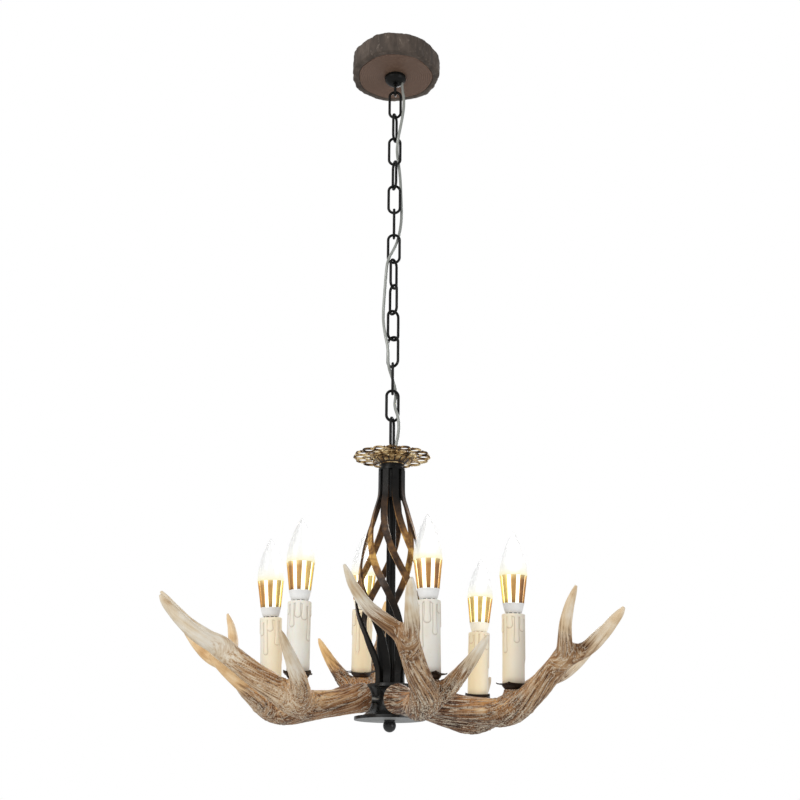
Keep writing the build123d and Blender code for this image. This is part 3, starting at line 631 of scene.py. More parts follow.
def path_frames(points, closed=False):
    """Unit tangent and two crosswise directions at each point, turning the least."""
    if closed:
        along = np.roll(points, -1, 0) - np.roll(points, 1, 0)
    else:
        along = np.gradient(points, axis=0)
    along /= np.linalg.norm(along, axis=1)[:, None]
    guide = np.array((0.0, 0.0, 1.0)) if abs(along[0][2]) < 0.8 else np.array((0, 1.0, 0))
    across = []
    for t in along:
        guide = guide - t * guide.dot(t)
        guide = guide / np.linalg.norm(guide)
        across.append(guide)
    across = np.array(across)
    return along, across, np.cross(along, across)


def sweep(points, radius, sides=12, closed=False):
    """Round wire along points; an open one has domed ends."""
    points = np.array(points, float)
    radii = np.broadcast_to(np.asarray(radius, float), (len(points),)).copy()
    along, across, third = path_frames(points, closed)
    if not closed:
        first, last = points[0] - along[0] * radii[0] * 0.4, points[-1]
        last = last + along[-1] * radii[-1] * 0.4
        points = np.vstack([first, points, last])
        radii = np.concatenate([[radii[0] * 0.55], radii, [radii[-1] * 0.55]])
        across = np.vstack([across[:1], across, across[-1:]])
        third = np.vstack([third[:1], third, third[-1:]])
    turn = np.arange(sides) * 2 * np.pi / sides
    ring = (np.cos(turn)[None, :, None] * across[:, None, :]
            + np.sin(turn)[None, :, None] * third[:, None, :])
    verts = (points[:, None, :] + ring * radii[:, None, None]).reshape(-1, 3)
    count = len(points)
    faces = tube_faces(count, sides, closed)
    if not closed:
        faces.append(tuple(reversed(range(sides))))
        faces.append(tuple(range((count - 1) * sides, count * sides)))
    return verts.tolist(), faces


def bead(place, radius, steps=10):
    outline = [(0, -radius)]
    for k in range(1, 6):
        a = pi * k / 6 - pi / 2
        outline.append((radius * cos(a), radius * sin(a)))
    outline.append((0, radius))
    verts, faces = lathe(outline, steps)
    return [Vector(v) + Vector(place) for v in verts], faces


def block(size, place, bevel):
    """Box with rounded edges."""
    work = bmesh.new()
    bmesh.ops.create_cube(work, size=1.0)
    bmesh.ops.scale(work, vec=size, verts=work.verts)
    bmesh.ops.bevel(work, geom=work.edges, offset=bevel, segments=2, profile=0.5, affect="EDGES")
    bmesh.ops.translate(work, vec=place, verts=work.verts)
    work.verts.index_update()
    verts = [tuple(v.co) for v in work.verts]
    faces = [tuple(v.index for v in face.verts) for face in work.faces]
    work.free()
    return verts, faces


def dress(node, finish):
    """Gives a CAD node its finish."""
    mesh = nodes[node].data
    if not mesh.materials:
        mesh.materials.append(finish)
    for i in range(len(mesh.materials)):
        mesh.materials[i] = finish


def in_place(piece, place):
    """Moves a piece's own mesh to a place in millimetres, so that its box stays tight."""
    place = place.copy()
    place.translation *= MM
    piece.data.transform(place)
    piece.data.update()


def turn(axis, degrees):
    return Matrix.Rotation(radians(degrees), 4, axis)


def seat_matrix(seat):
    """Antler's own frame, in millimetres."""
    move = Matrix.Translation((ROOT_PLACE + seat.out, 0, ARM_HEIGHT + seat.up))
    return (Matrix.Translation((0, 0, HUB_Z)) @ turn("Z", seat.bearing - 90) @ move
            @ turn("Z", seat.swing) @ turn("Y", -seat.lift)
            @ turn("X", seat.roll))


def lamp_matrix(seat):
    return seat_matrix(seat) @ Matrix.Translation((LAMP_REACH, 0, PEDESTAL_HEIGHT))


# ---------------------------------------------------------------- supply cable

def seat_height(number):
    return FIRST_SEAT - (number - 1) * LINK_PITCH


def cable_route():
    """The supply cable's points, in metres. Heights go by the links."""
    def at(x, y, link):
        return (x, y, seat_height(link))

    route = [
        (44.0, 0, -14.25), (25.5, 0, -14.25), (10.5, 0, -27.2), (10.5, 0, -54.0),
        at(13.6, -1, 1.2), at(13.4, -4, 1.75), at(9, -7, 2.5), at(4.5, -7, 3.1),
        at(3.2, 0.5, 3.52), at(6.5, 7, 4.0), at(9, 5, 4.6), at(10.5, 7, 5.5),
        at(11.5, 5.5, 6.25), at(7, 7, 7.0), at(0.5, 0.3, 7.5), at(-9.5, -6.5, 8.05),
        at(-11.5, -4.5, 8.7), at(-13, -3.5, 9.35), at(-15, -3, 10.2),
        at(-12, -7.6, 10.85), at(-6.5, -7.5, 11.45), at(-6.8, -4.5, 12.05),
        at(0, 0.3, 12.5), at(5.7, 7.2, 12.98), at(2.2, 0.5, 13.5), at(9, -7, 13.98),
        at(9.5, -8, 14.5), at(5, -9.6, 15.05), (3.0, -9.5, HUB_Z + 348.2),
        (3.0, -9.5, HUB_Z + 324.2), (0, 0, HUB_Z + 305.0), (0, 0, HUB_Z + 22.0),
    ]
    return [[c * MM for c in point] for point in route]


def cable_line():
    """Points read from the route's NURBS spline, in millimetres."""
    route = cable_route()
    data = bpy.data.curves.new("supply_route", "CURVE")
    data.dimensions = "3D"
    data.resolution_u = 14
    spline = data.splines.new("NURBS")
    spline.points.add(len(route) - 1)
    for point, place in zip(spline.points, route):
        point.co = (*place, 1.0)
    spline.order_u = 3
    spline.use_endpoint_u = True
    holder = add_object("supply_route", data)
    graph = bpy.context.evaluated_depsgraph_get()
    mesh = bpy.data.meshes.new_from_object(holder.evaluated_get(graph))
    line = np.array([v.co[:] for v in mesh.vertices]) / MM
    bpy.data.objects.remove(holder)
    bpy.data.meshes.remove(mesh)
    return line


def make_cable(finish):
    """The cable in lengths, cut at heights that go by the chain's links."""
    line = cable_line()
    gaps = np.linalg.norm(np.diff(line, axis=0), axis=1)
    line = line[np.concatenate([[True], gaps > 0.01])]
    length = lengths(line)
    ring_step, sides = 1.8, 18
    wanted = np.linspace(0.0, length[-1], int(length[-1] / ring_step))
    line = np.array([np.interp(wanted, length, line[:, i]) for i in range(3)]).T
    _, across, third = path_frames(line)
    around = np.arange(sides) * 2 * np.pi / sides
    bodies = ["ceiling_body"]
    bodies += [f"chain_link_{k:02d}" for k in range(1, LINK_COUNT + 1)] + ["lamp_body"]
    middles = [seat_height(k) + LINK_PITCH / 2 for k in range(1, LINK_COUNT + 3)]
    cuts = [0]
    for height in middles[1:-1]:
        cuts.append(int(np.argmax(line[:, 2] < height)))
    cuts.append(len(line) - 1)
    for k in range(LINK_COUNT + 1):
        rows = range(cuts[k], cuts[k + 1] + 1)
        verts, lay = [], []
        for row in rows:
            ring = (np.cos(around)[:, None] * across[row] + np.sin(around)[:, None]
                    * third[row]) * CABLE_RADIUS + line[row]
            verts += ring.tolist()
            lay += [(x, y, wanted[row]) for x, y, _ in circle(CABLE_RADIUS, 0.0, sides)]
        faces = tube_faces(len(rows), sides)
        for row, ring in ((rows[0], 0), (rows[-1], len(rows) - 1)):
            middle = len(verts)
            verts.append(line[row].tolist())
            lay.append((0.0, 0.0, wanted[row]))
            for i in range(sides):
                faces.append((middle, ring * sides + i, ring * sides + (i + 1) % sides))
        piece = Form().add(verts, faces).make(f"supply_cable_{k:02d}", [finish], 60.0)
        keep_values(piece.data, "lay", lay)
        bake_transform(piece)
        if k == 0:
            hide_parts("supply_cable")


# ---------------------------------------------------------------- antlers

BEAM = (
    (0, -3, 1.5, 18.0), (7, -3, 0.5, 19.2), (18, -1.5, -2, 18.0),
    (38, 0.5, -7, 16.5), (68, -1, -11.5, 17.0), (96, -5, -14, 18.5),
    (118, -9, -9, 18.0), (138, -16, 3, 16.0), (163, -33, 22.5, 14.5),
    (189, -51, 46, 13.0), (203, -60, 58, 10.0),
)
FORK_INNER = (
    (194, -55, 53, 10.0), (200, -76, 65.5, 9.2), (208, -106, 85, 7.7),
    (217, -125, 105, 5.9), (224, -134, 118, 4.0), (229, -140, 127, 1.8),
)
FORK_OUTER = (
    (192, -52, 49, 10.0), (222, -58.5, 60.5, 9.4), (245, -66.5, 78, 8.2),
    (260, -72.5, 93.5, 6.6), (268, -75, 102, 4.6), (273, -76, 108.5, 1.8),
)
BROW_TINE = (
    (112, 3, -9, 10.0), (124, 15, 0, 12.0), (136, 24, 12, 10.5),
    (152, 33, 26.5, 8.5), (169, 41, 42.5, 6.2), (180, 46, 54, 4.2),
    (186, 48.5, 61, 1.6),
)
PEDESTAL = ((LAMP_REACH, 0, -9.5, 15.0), (LAMP_REACH, 0, 2.5, 13.8),
            (LAMP_REACH, 0, PEDESTAL_HEIGHT, 12.5))
ROOT_ROUND = 6.0
VOXEL = 1.45
# How softly the limbs run into each other, in their skin and in their paint
SKIN_SOFTNESS, PAINT_SOFTNESS = 2.6, 4.0


def limb_line(stations, step=0.5):
    """Catmull-Rom line through the stations: x, y, z and radius at each sample."""
    p = np.array(stations, float)
    p = np.vstack([2 * p[0] - p[1], p, 2 * p[-1] - p[-2]])
    out = []
    for a, b, c, d in zip(p, p[1:], p[2:], p[3:]):
        t = np.arange(0.0, 1.0, step / np.linalg.norm((c - b)[:3]))[:, None]
        out.append(0.5 * (2 * b + (c - a) * t + (2 * a - 5 * b + 4 * c - d) * t ** 2
                          + (3 * b - a - 3 * c + d) * t ** 3))
    return np.vstack(out + [p[-2:-1]])


def rough_antler():
    """The five limbs as plain tubes, joined by a voxel remesh."""
    form = Form()
    for stations in (BEAM, FORK_INNER, FORK_OUTER, BROW_TINE, PEDESTAL):
        line = limb_line(stations, 2.0)
        points, radii = line[:, :3], line[:, 3]
        if stations is BEAM:
            inset = np.clip(ROOT_ROUND - points[:, 0], 0.0, ROOT_ROUND)
            radii = radii - (ROOT_ROUND - np.sqrt(ROOT_ROUND ** 2 - inset ** 2))
        _, across, third = path_frames(points)
        if stations in (BEAM, PEDESTAL):
            across[0], third[0] = (0, 0, 1.0), (0, 1.0, 0)
        if stations is PEDESTAL:
            across[:], third[:] = (1.0, 0, 0), (0, 1.0, 0)
        sides = 40
        turns = np.arange(sides) * 2 * np.pi / sides
        verts = [(p + r * (cos(a) * u + sin(a) * v)).tolist()
                 for p, r, u, v in zip(points, radii, across, third) for a in turns]
        faces = tube_faces(len(points), sides)
        faces.append(tuple(range(sides)))
        faces.append(tuple(range((len(points) - 1) * sides, len(points) * sides)))
        form.add(verts, faces)
    piece = form.make("antler_casting", [])
    remesh = piece.modifiers.new("remesh", "REMESH")
    remesh.mode = "VOXEL"
    remesh.voxel_size = VOXEL * MM
    graph = bpy.context.evaluated_depsgraph_get()
    mesh = bpy.data.meshes.new_from_object(piece.evaluated_get(graph))
    bpy.data.objects.remove(piece)
    return mesh


def limb_fields(points):
    """How far each point is off each limb's skin, which way out is, and where it lies."""
    fields = []
    for stations in (BEAM, FORK_INNER, FORK_OUTER, BROW_TINE, PEDESTAL):
        line = limb_line(stations)
        middle = line[:, :3]
        square = ((points ** 2).sum(1)[:, None] + (middle ** 2).sum(1)[None, :]
                  - 2 * points @ middle.T)
        near = square.argmin(1)
        off = points - middle[near]
        distance = np.linalg.norm(off, axis=1)
        length = lengths(middle)
        _, across, third = path_frames(middle)
        fields.append(dict(
            depth=distance - line[near, 3], out=off / np.maximum(distance, 1e-6)[:, None],
            run=length[near], whole=length[-1],
            u=(off * across[near]).sum(1), v=(off * third[near]).sum(1)))
    return fields


def blend_limbs(fields, softness):
    """Share of each limb at each point, and the soft union of their skins."""
    depth = np.array([f["depth"] for f in fields])
    low = depth.min(0)
    share = np.exp(-(depth - low) / softness)
    total = share.sum(0)
    skin = low - softness * np.log(total)
    return share / total, skin


def noise_at(points, scale, offset=0.0):
    return np.array([noise.noise(Vector((x * scale + offset, y * scale, z * scale)))
                     for x, y, z in points])


def sculpt_antler():
    """Draws the remeshed casting to a soft union of its limbs, then cuts its grooves."""
    mesh = rough_antler()
    count = len(mesh.vertices)
    points = np.zeros(count * 3)
    mesh.vertices.foreach_get("co", points)
    points = points.reshape(-1, 3) / MM
    lamp_off = np.hypot(points[:, 0] - LAMP_REACH, points[:, 1])
    on_top = (points[:, 2] > PEDESTAL_HEIGHT - 2.5) & (lamp_off < 15.0)
    free = smoothstep(5.0, 8.0, points[:, 0]) * np.where(on_top, 0.0, 1.0)
    for _ in range(4):
        fields = limb_fields(points)
        share, skin = blend_limbs(fields, SKIN_SOFTNESS)
        way = sum(s[:, None] * f["out"] for s, f in zip(share, fields))
        way /= np.maximum(np.linalg.norm(way, axis=1), 0.2)[:, None]
        points -= way * (skin * free)[:, None]
    fields = limb_fields(points)
    share, _ = blend_limbs(fields, PAINT_SOFTNESS)
    flow = np.zeros((count, 3))
    for k, (s, f) in enumerate(zip(share, fields)):
        drift = f["run"] * 0.011
        u = f["u"] * np.cos(drift) - f["v"] * np.sin(drift)
        v = f["u"] * np.sin(drift) + f["v"] * np.cos(drift)
        local = np.stack([u, v, f["run"] / 20.0 + 7.0 * k], axis=1)
        flow += s[:, None] * local
    beam, inner, outer, brow, pedestal = fields
    beam_run = beam["run"] / beam["whole"]
    tip = sum(s * smoothstep(a, b, f["run"] / f["whole"]) for s, f, a, b in (
        (share[0], beam, 0.72, 1.02), (share[1], inner, -0.3, 0.3),
        (share[2], outer, -0.3, 0.35), (share[3], brow, 0.2, 0.65)))
    late = sum(s * smoothstep(a, b, f["run"] / f["whole"]) for s, f, a, b in (
        (share[1], inner, 0.12, 0.8), (share[2], outer, 0.12, 0.8),
        (share[3], brow, 0.3, 0.85)))
    rough = 1.0 - 0.92 * smoothstep(0.1, 0.75, tip)
    knuckle = np.exp(-((beam_run - 0.52) / 0.13) ** 2)
    crotch = np.exp(-((beam_run - 0.97) / 0.16) ** 2) * (1 - tip)
    pearl = np.clip(0.18 + 0.85 * knuckle + 0.5 * crotch, 0, 1) * rough
    lines = noise_at(flow, 0.3)
    wide = noise_at(flow, 0.12, 40.0)
    groove = np.clip(1.0 - np.abs(lines) / 0.15, 0, 1) ** 1.5
    groove = np.maximum(groove, 0.8 * np.clip(1.0 - np.abs(wide) / 0.09, 0, 1) ** 1.3)
    lump = noise_at(points, 0.045, 10.0)
    grain = noise_at(points, 0.24, 25.0)
    pearls = np.clip(grain - 0.08, 0, 1) * pearl
    height = (0.5 * lump - 0.95 * groove + 0.4 * lines - 0.2) * rough
    height += 1.6 * pearls + 0.2 * lump * tip
    keep = smoothstep(7.0, 14.0, points[:, 0]) * np.where(on_top, 0.0, 1.0)
    keep *= 1.0 - 0.75 * np.exp(-(pedestal["depth"] / 5.0) ** 2)
    points += way * (height * keep)[:, None]
    mesh.vertices.foreach_set("co", (points * MM).ravel())
    # painted light: where the lamps light the upper faces of the beam
    glow = np.exp(-((points[:, 0] - 95.0) / 62.0) ** 2) * smoothstep(
        -0.5, 0.7, way[:, 2] - 0.35 * way[:, 0])
    # painted shade: undersides of the beam, joined with the darker paint near the hub
    under = smoothstep(0.15, -0.65, way[:, 2]) * smoothstep(150.0, 105.0, points[:, 0])
    root_and_shade = 1.0 - (1.0 - smoothstep(85.0, 8.0, points[:, 0])) * (1.0 - 0.9 * under)
    for key, values in (("groove", groove * rough), ("tip", tip), ("pearl", pearl),
                        ("glow", glow * 0.85), ("root_and_shade", root_and_shade * 0.85)):
        keep_values(mesh, key, values)
    outward(mesh)
    return mesh, flow, points, tip, late


# For each antler how late its ivory starts, how pale its paint is, and how strongly the yellow
# light of the lamps behind it is painted on its tines.
MOODS = {1: (0.0, 0.16, 0.06), 2: (0.95, -0.1, 0.0), 3: (0.85, -0.04, 0.3),
         4: (0.6, -0.1, 0.25), 5: (0.5, -0.1, 1.0), 6: (0.1, 0.06, 0.7)}


def make_antlers(finish):
    casting, flow, points, tip, late = sculpt_antler()
    casting.materials.clear()
    casting.materials.append(finish)
    for number, seat in SEATS.items():
        mesh = casting.copy()
        shift = np.array((31.0 * number, 17.0 * number, 0.0))
        for key, values in (("flow", flow), ("solid", points)):
            keep_values(mesh, key, values + shift)
        wait, pale, backlight_glow = MOODS[number]
        ivory = tip + wait * (late - tip)
        mesh.attributes["tip"].data.foreach_set("value", ivory.astype(np.float32))
        keep_values(mesh, "mood", np.tile((pale, backlight_glow, 0.0), (len(points), 1)))
        piece = add_object(f"antler_casting_{number}", mesh)
        in_place(piece, seat_matrix(seat))
        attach(piece, "lamp_body")
        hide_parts(f"antler_{number}")
    bpy.data.meshes.remove(casting)


# ---------------------------------------------------------------- canopy

def make_canopy(rings, bark):
    """Slice of trunk, hollowed from behind: bark outside, end grain underneath."""
    steps, hole, wall, floor = 240, 13.0, 62.6, 4.0

    def edge(a):
        swell = 0.55 * sin(3 * a + 0.7) + 0.45 * sin(7 * a + 2.1)
        return CANOPY_RADIUS - 1.8 + 1.8 * swell

    def warp(r, z, a):
        if r < 15:
            return r, z
        share = (r - hole) / (CANOPY_RADIUS - hole)
        reach = hole + share * (edge(a) - hole)
        spot = Vector((cos(a) * 5.5, sin(a) * 5.5, z * 0.035))
        if r > 64:
            reach += 2.0 * noise.noise(spot) - 1.2
            reach += 0.9 * noise.noise(spot * 3.1)
        if z < -CANOPY_HEIGHT + 3.5 and r < 69:
            ripple = noise.noise(Vector((reach * cos(a), reach * sin(a), 0)) * 0.05)
            z += 0.35 + 0.35 * ripple
            if abs(r - 58.5) < 0.6:
                z += 0.7
        return reach, z

    low = -CANOPY_HEIGHT
    outline = [(hole, low + 0.3)]
    outline += [(r, low) for r in (16, 20, 25, 30, 35, 40, 45, 50, 54, 57.8)]
    outline += [(58.5, low + 0.4), (59.4, low), (64.5, low), (68.8, low + 0.7),
                (CANOPY_RADIUS, low + 2.4)]
    outline += [(CANOPY_RADIUS, low + h) for h in (5, 8, 11, 14, 17, 20, 23, 26, 29)]
    outline += [(69.7, -2.6), (68.7, -0.8), (66.6, -0.05), (63.2, -0.05), (wall, -0.6),
                (wall, -8.0), (wall, -18.0), (wall, low + 5.5), (61.0, low + floor),
                (45.0, low + floor), (25.0, low + floor), (hole, low + floor)]
    verts, faces, rows = revolve(outline, steps, warp)
    verts = [(x, y * CANOPY_DEPTH_SHARE, z) for x, y, z in verts]
    marks = [1 if 11 <= row <= 28 else 0 for row in rows]
    piece = Form().add(verts, faces, marks).make("canopy_slice", [rings, bark], 50.0)
    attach(piece, "ceiling_body")
    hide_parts("canopy")


def make_terminal_block(plastic, steel):
    """Two-pole screw connector standing on the canopy's floor."""
    form = Form()
    floor = -CANOPY_HEIGHT + 4.0
    form.add(*block((11, 18, 13), (49.5, 0, floor + 6.5), 1.2))
    for side in (-1, 1):
        form.add(*block((7.5, 6.8, 8.0), (49.5, side * 4.6, floor + 16.8), 1.4))
        screw = [(0, 0), (2.3, 0), (2.3, 0.8), (1.9, 1.2), (0, 1.2)]
        place = Matrix.Translation((49.5, side * 4.6, floor + 19.8))
        form.add(*lathe(screw, 20), 1, place)
        form.add(*block((0.6, 3.6, 0.5), (49.5, side * 4.6, floor + 21.0 - 0.2), 0.1), 1)
    piece = form.make("connector_block", [plastic, steel])
    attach(piece, "ceiling_body")
    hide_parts("terminal_block")


# ---------------------------------------------------------------- crown

def make_crown(gold):
    """Pierced gilt dish: petalled cup, ring of round openings, scalloped double rim."""
    form = Form()
    t, low, lobes = 1.2, CROWN_FLOOR, 16
    top = low + 12.0

    def petals(r, z, a):
        rise = (z - low) / 12.0
        wave = abs(cos(a * lobes / 2))
        swell = 0.9 * sin(pi * min(max(rise, 0), 1)) * (wave ** 0.6 - 0.5)
        return r + swell, z

    outline = [(5.4, low), (10, low), (16, low)]
    outline += [(16 + 12 * s ** 1.25, low + 12 * s) for s in np.linspace(0.12, 1.0, 9)]
    outline += [(30.0, top + 0.4), (30.0, top + 1.6), (26.6, top + 1.6)]
    outline += [(14.8 + 11.8 * s ** 1.25, low + t + 11.2 * s) for s in np.linspace(0.9, 0.1, 7)]
    outline += [(15.0, low + t), (5.4, low + t)]
    verts, faces, _ = revolve(outline, 192, petals)
    dark = []
    for x, y, z in verts:
        wave = abs(cos(atan2(y, x) * lobes / 2))
        deep = max(1.0 - smoothstep(0.1, 0.5, wave), 0.95 * smoothstep(low + 6.5, low + 1, z))
        dark.append(max(float(deep), 0.25) if z < top else 0.03)
    form.add(verts, faces, recess=dark)
    lobe_ring, inner_ring, height = 45.2, 34.8, top + 0.9

    def ring(place, radius, wire):
        form.add(*sweep(circle(radius), wire, 8, True), 0, place)

    for k in range(lobes):
        middle = turn("Z", 360 / lobes * k)
        lobe = middle @ Matrix.Translation((lobe_ring, 0, height))
        ring(lobe, 7.5, 1.0)
        ring(lobe @ Matrix.Translation((0, 0, 0.75)), 6.4, 0.45)
        between = turn("Z", 360 / lobes * (k + 0.5))
        ring(between @ Matrix.Translation((inner_ring, 0, height)), 4.6, 0.85)
        form.add(*bead(between @ Vector((lobe_ring + 6, 0, height)), 1.5))
        form.add(*bead(between @ Vector((lobe_ring - 4, 0, height + 0.5)), 1.3))
        form.add(*bead(middle @ Vector((32.0, 0, height + 0.3)), 1.5))
        form.add(*bead(between @ Vector((25.6, 0, low + 9.2)), 1.6))
        scroll = []
        for i in range(13):
            s = i / 12
            bend = 2.6 * sin(2 * pi * s)
            scroll.append(tuple(between @ Vector((30.5 + 9.5 * s, bend, height + 0.4))))
        form.add(*sweep(scroll, 0.6, 6))
    for wire, drop, grow in ((1.05, -0.7, 0.0), (0.85, 1.0, -0.5)):
        points = []
        for i in range(lobes * 16):
            a = 2 * pi * i / (lobes * 16)
            near = (a * lobes / (2 * pi) + 0.5) % 1.0 - 0.5
            side = lobe_ring * sin(near * 2 * pi / lobes)
            reach = 8.4 + grow
            out = lobe_ring * cos(near * 2 * pi / lobes)
            out += sqrt(max(reach ** 2 - side ** 2, 9.0)) - 0.4
            points.append((out * cos(a), out * sin(a), height + drop))
        form.add(*sweep(points, wire, 8, True))
    for radius, wire, up in ((30.2, 1.0, 0.5), (28.4, 0.7, -1.6), (17.2, 0.8, -11.6)):
        form.add(*sweep(circle(radius, height + up, 72), wire, 8, True))
    piece = form.make("gilt_crown", [gold])
    in_place(piece, Matrix.Translation((0, 0, HUB_Z)))
    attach(piece, "lamp_body")
    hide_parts("filigree_crown")


# ---------------------------------------------------------------- candles

# Bearing, half width, length and stand of each run of wax round a sleeve.
WAX_RUNS = (
    (8, 3.0, 21, 0.8), (37, 2.4, 47, 0.85), (62, 3.3, 15, 0.7), (101, 2.7, 34, 0.85),
    (133, 3.2, 19, 0.75), (166, 2.3, 56, 0.85), (199, 3.4, 25, 0.75),
    (238, 2.5, 40, 0.85), (268, 3.1, 13, 0.7), (303, 2.6, 30, 0.85),
    (334, 3.2, 18, 0.75),
)

# How strongly the lamps' yellow light is painted on each sleeve, and how dark the painted shade
# on the side that its lamp's neighbours miss.
SLEEVE_LIGHT = {1: (0.14, 0.0), 2: (0.0, 0.0), 3: (0.75, 0.6), 4: (0.85, 0.2),
                5: (0.75, 0.05), 6: (0.65, 0.1)}


def make_sleeves(wax):
    """The six candle sleeves, with wax that has run from the top edge."""
    top, foot, outer, bore = SLEEVE_TOP, SLEEVE_FOOT, SLEEVE_RADIUS, SLEEVE_BORE
    steps = 170

    def outside(z, a):
        """Signed distance from the wax that has run, and how far the nearest stands."""
        best, rise = 99.0, 0.8
        for bearing, width, length, stand in WAX_RUNS:
            across = (a - radians(bearing) + pi) % (2 * pi) - pi
            below = max(0.0, top - length - z)
            swell = 1 + 0.22 * exp(-((z - top + length) / 5.0) ** 2)
            away = hypot(across * outer, below) - width * swell
            if away < best:
                best, rise = away, stand * swell
        lip = top - 5.0 - 1.6 * sin(3 * a + 0.5) - 1.1 * sin(5 * a)
        return min(best, lip - z), rise

    heights = [foot, foot + 0.6, foot + 8, foot + 16, foot + 24]
    heights += list(np.linspace(foot + 30, top - 2.0, 74))
    outline = [(outer - 0.4 if z == foot else outer, z) for z in heights]
    outline += [(outer, top - 1.2), (outer - 0.3, top - 0.5), (outer - 0.9, top - 0.1),
                (bore + 0.5, top), (bore, top - 0.4), (bore, top - 20),
                (bore, foot + 10), (bore, foot)]

    def warp(r, z, a):
        if r > bore + 0.45 and z > foot + 1:
            away, rise = outside(z, a)
            thin = 0.5 if z > top - 0.3 else 1.0
            swell = rise * float(smoothstep(0.35, -1.3, away))
            sag = 0.16 * noise.noise(Vector((cos(a) * 2, sin(a) * 2, z * 0.04)))
            return min(r + swell * thin + sag, SLEEVE_RADIUS + 0.95), z
        return r, z

    verts, faces, _ = revolve(outline, steps, warp)
    run, edge = [], []
    for x, y, z in verts:
        away = outside(z, atan2(y, x))[0] if hypot(x, y) > bore + 0.4 else 9.0
        run.append(1.0 if away < -0.4 else 0.0)
        # how much painted shade lies along the edge of each run, half as much at the foot
        edge.append(exp(-((away - 0.25) / 0.5) ** 2) if z > foot + 1 else 0.5)
    form = Form()
    for number, seat in SEATS.items():
        place = lamp_matrix(seat) @ turn("Z", 67.0 * number)
        inward = (lamp_matrix(seat).inverted() @ Vector((0, 0, HUB_Z + 90))).to_2d()
        inward = Matrix.Rotation(radians(-67.0 * number), 2) @ inward.normalized()
        glow_strength, brown = SLEEVE_LIGHT[number]
        # painted light and shade: lit towards the other lamps, shaded on the far side
        facing = [(x * inward[0] + y * inward[1]) / outer for x, y, z in verts]
        warm = [glow_strength * min(max(0.55 + 0.45 * c, 0.0), 1.0) for c in facing]
        shade = [brown * min(max(-0.2 - 0.9 * c, 0.0), 1.0) for c in facing]
        form.add(verts, faces, 0, place, run=run, edge=edge, warm=warm, shade=shade)
    piece = form.make("wax_sleeves", [wax], 60.0)
    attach(piece, "lamp_body")
    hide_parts("candle_sleeves")


def make_pans(bronze):
    """Cast drip pans: a cup under four leaves with raised midribs and turned-up tips."""
    plate, tip_reach, cup = 7.5, 23.5, 16.0

    def reach_at(a):
        near = (a / (pi / 2) + 0.5) % 1.0 - 0.5
        share = (1 - abs(near) * 2) ** 1.7
        return cup + 0.4 + (tip_reach - cup - 0.4) * share

    def rib(a):
        near = (a / (pi / 2) + 0.5) % 1.0 - 0.5
        return exp(-(near / 0.045) ** 2)

    def upper(share, a):
        r = 15.0 + (reach_at(a) - 15.0) * share
        far = max(0.0, (r - 15.5) / 8.0)
        return r, plate + 1.5 * far ** 1.5 - 0.5 * far * (1 - rib(a)) + 0.3 * rib(a) * far

    def warp(r, z, a):
        if z > 50:
            return upper(min((z - 60) / 10, 1.0), a)
        if z < -50:
            share = min((-z - 60) / 10, 1.0)
            reach, height = upper(share, a)
            return reach - 0.25, height - 1.5 + 0.15 * share
        return r, z

    outline = [(5.3, 0.0), (9.0, 0.0), (11.0, 0.3), (12.6, 1.8), (14.0, 3.6), (15.0, 5.6)]
    outline += [(1.0, -60 - 10 * s) for s in (0.15, 0.35, 0.55, 0.75, 0.9, 1.0)]
    outline += [(1.0, 60 + 10 * s) for s in (1.0, 0.9, 0.75, 0.55, 0.35, 0.15, 0.0)]
    outline += [(12.0, plate), (8.0, plate), (5.3, plate)]
    verts, faces, _ = revolve(outline, 128, warp)
    form = Form()
    for seat in SEATS.values():
        form.add(verts, faces, 0, lamp_matrix(seat))
    piece = form.make("leaf_pans", [bronze], 45.0)
    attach(piece, "lamp_body")
    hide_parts("drip_pans")


# ---------------------------------------------------------------- bulbs

def flame_outline(radius, height, foot):
    shape = ((1.0, 0.0), (0.992, 0.1), (0.965, 0.2), (0.915, 0.3), (0.845, 0.4),
             (0.755, 0.5), (0.65, 0.6), (0.53, 0.7), (0.4, 0.79), (0.27, 0.87),
             (0.16, 0.93), (0.075, 0.975))
    return [(r * radius, foot + h * height) for r, h in shape]


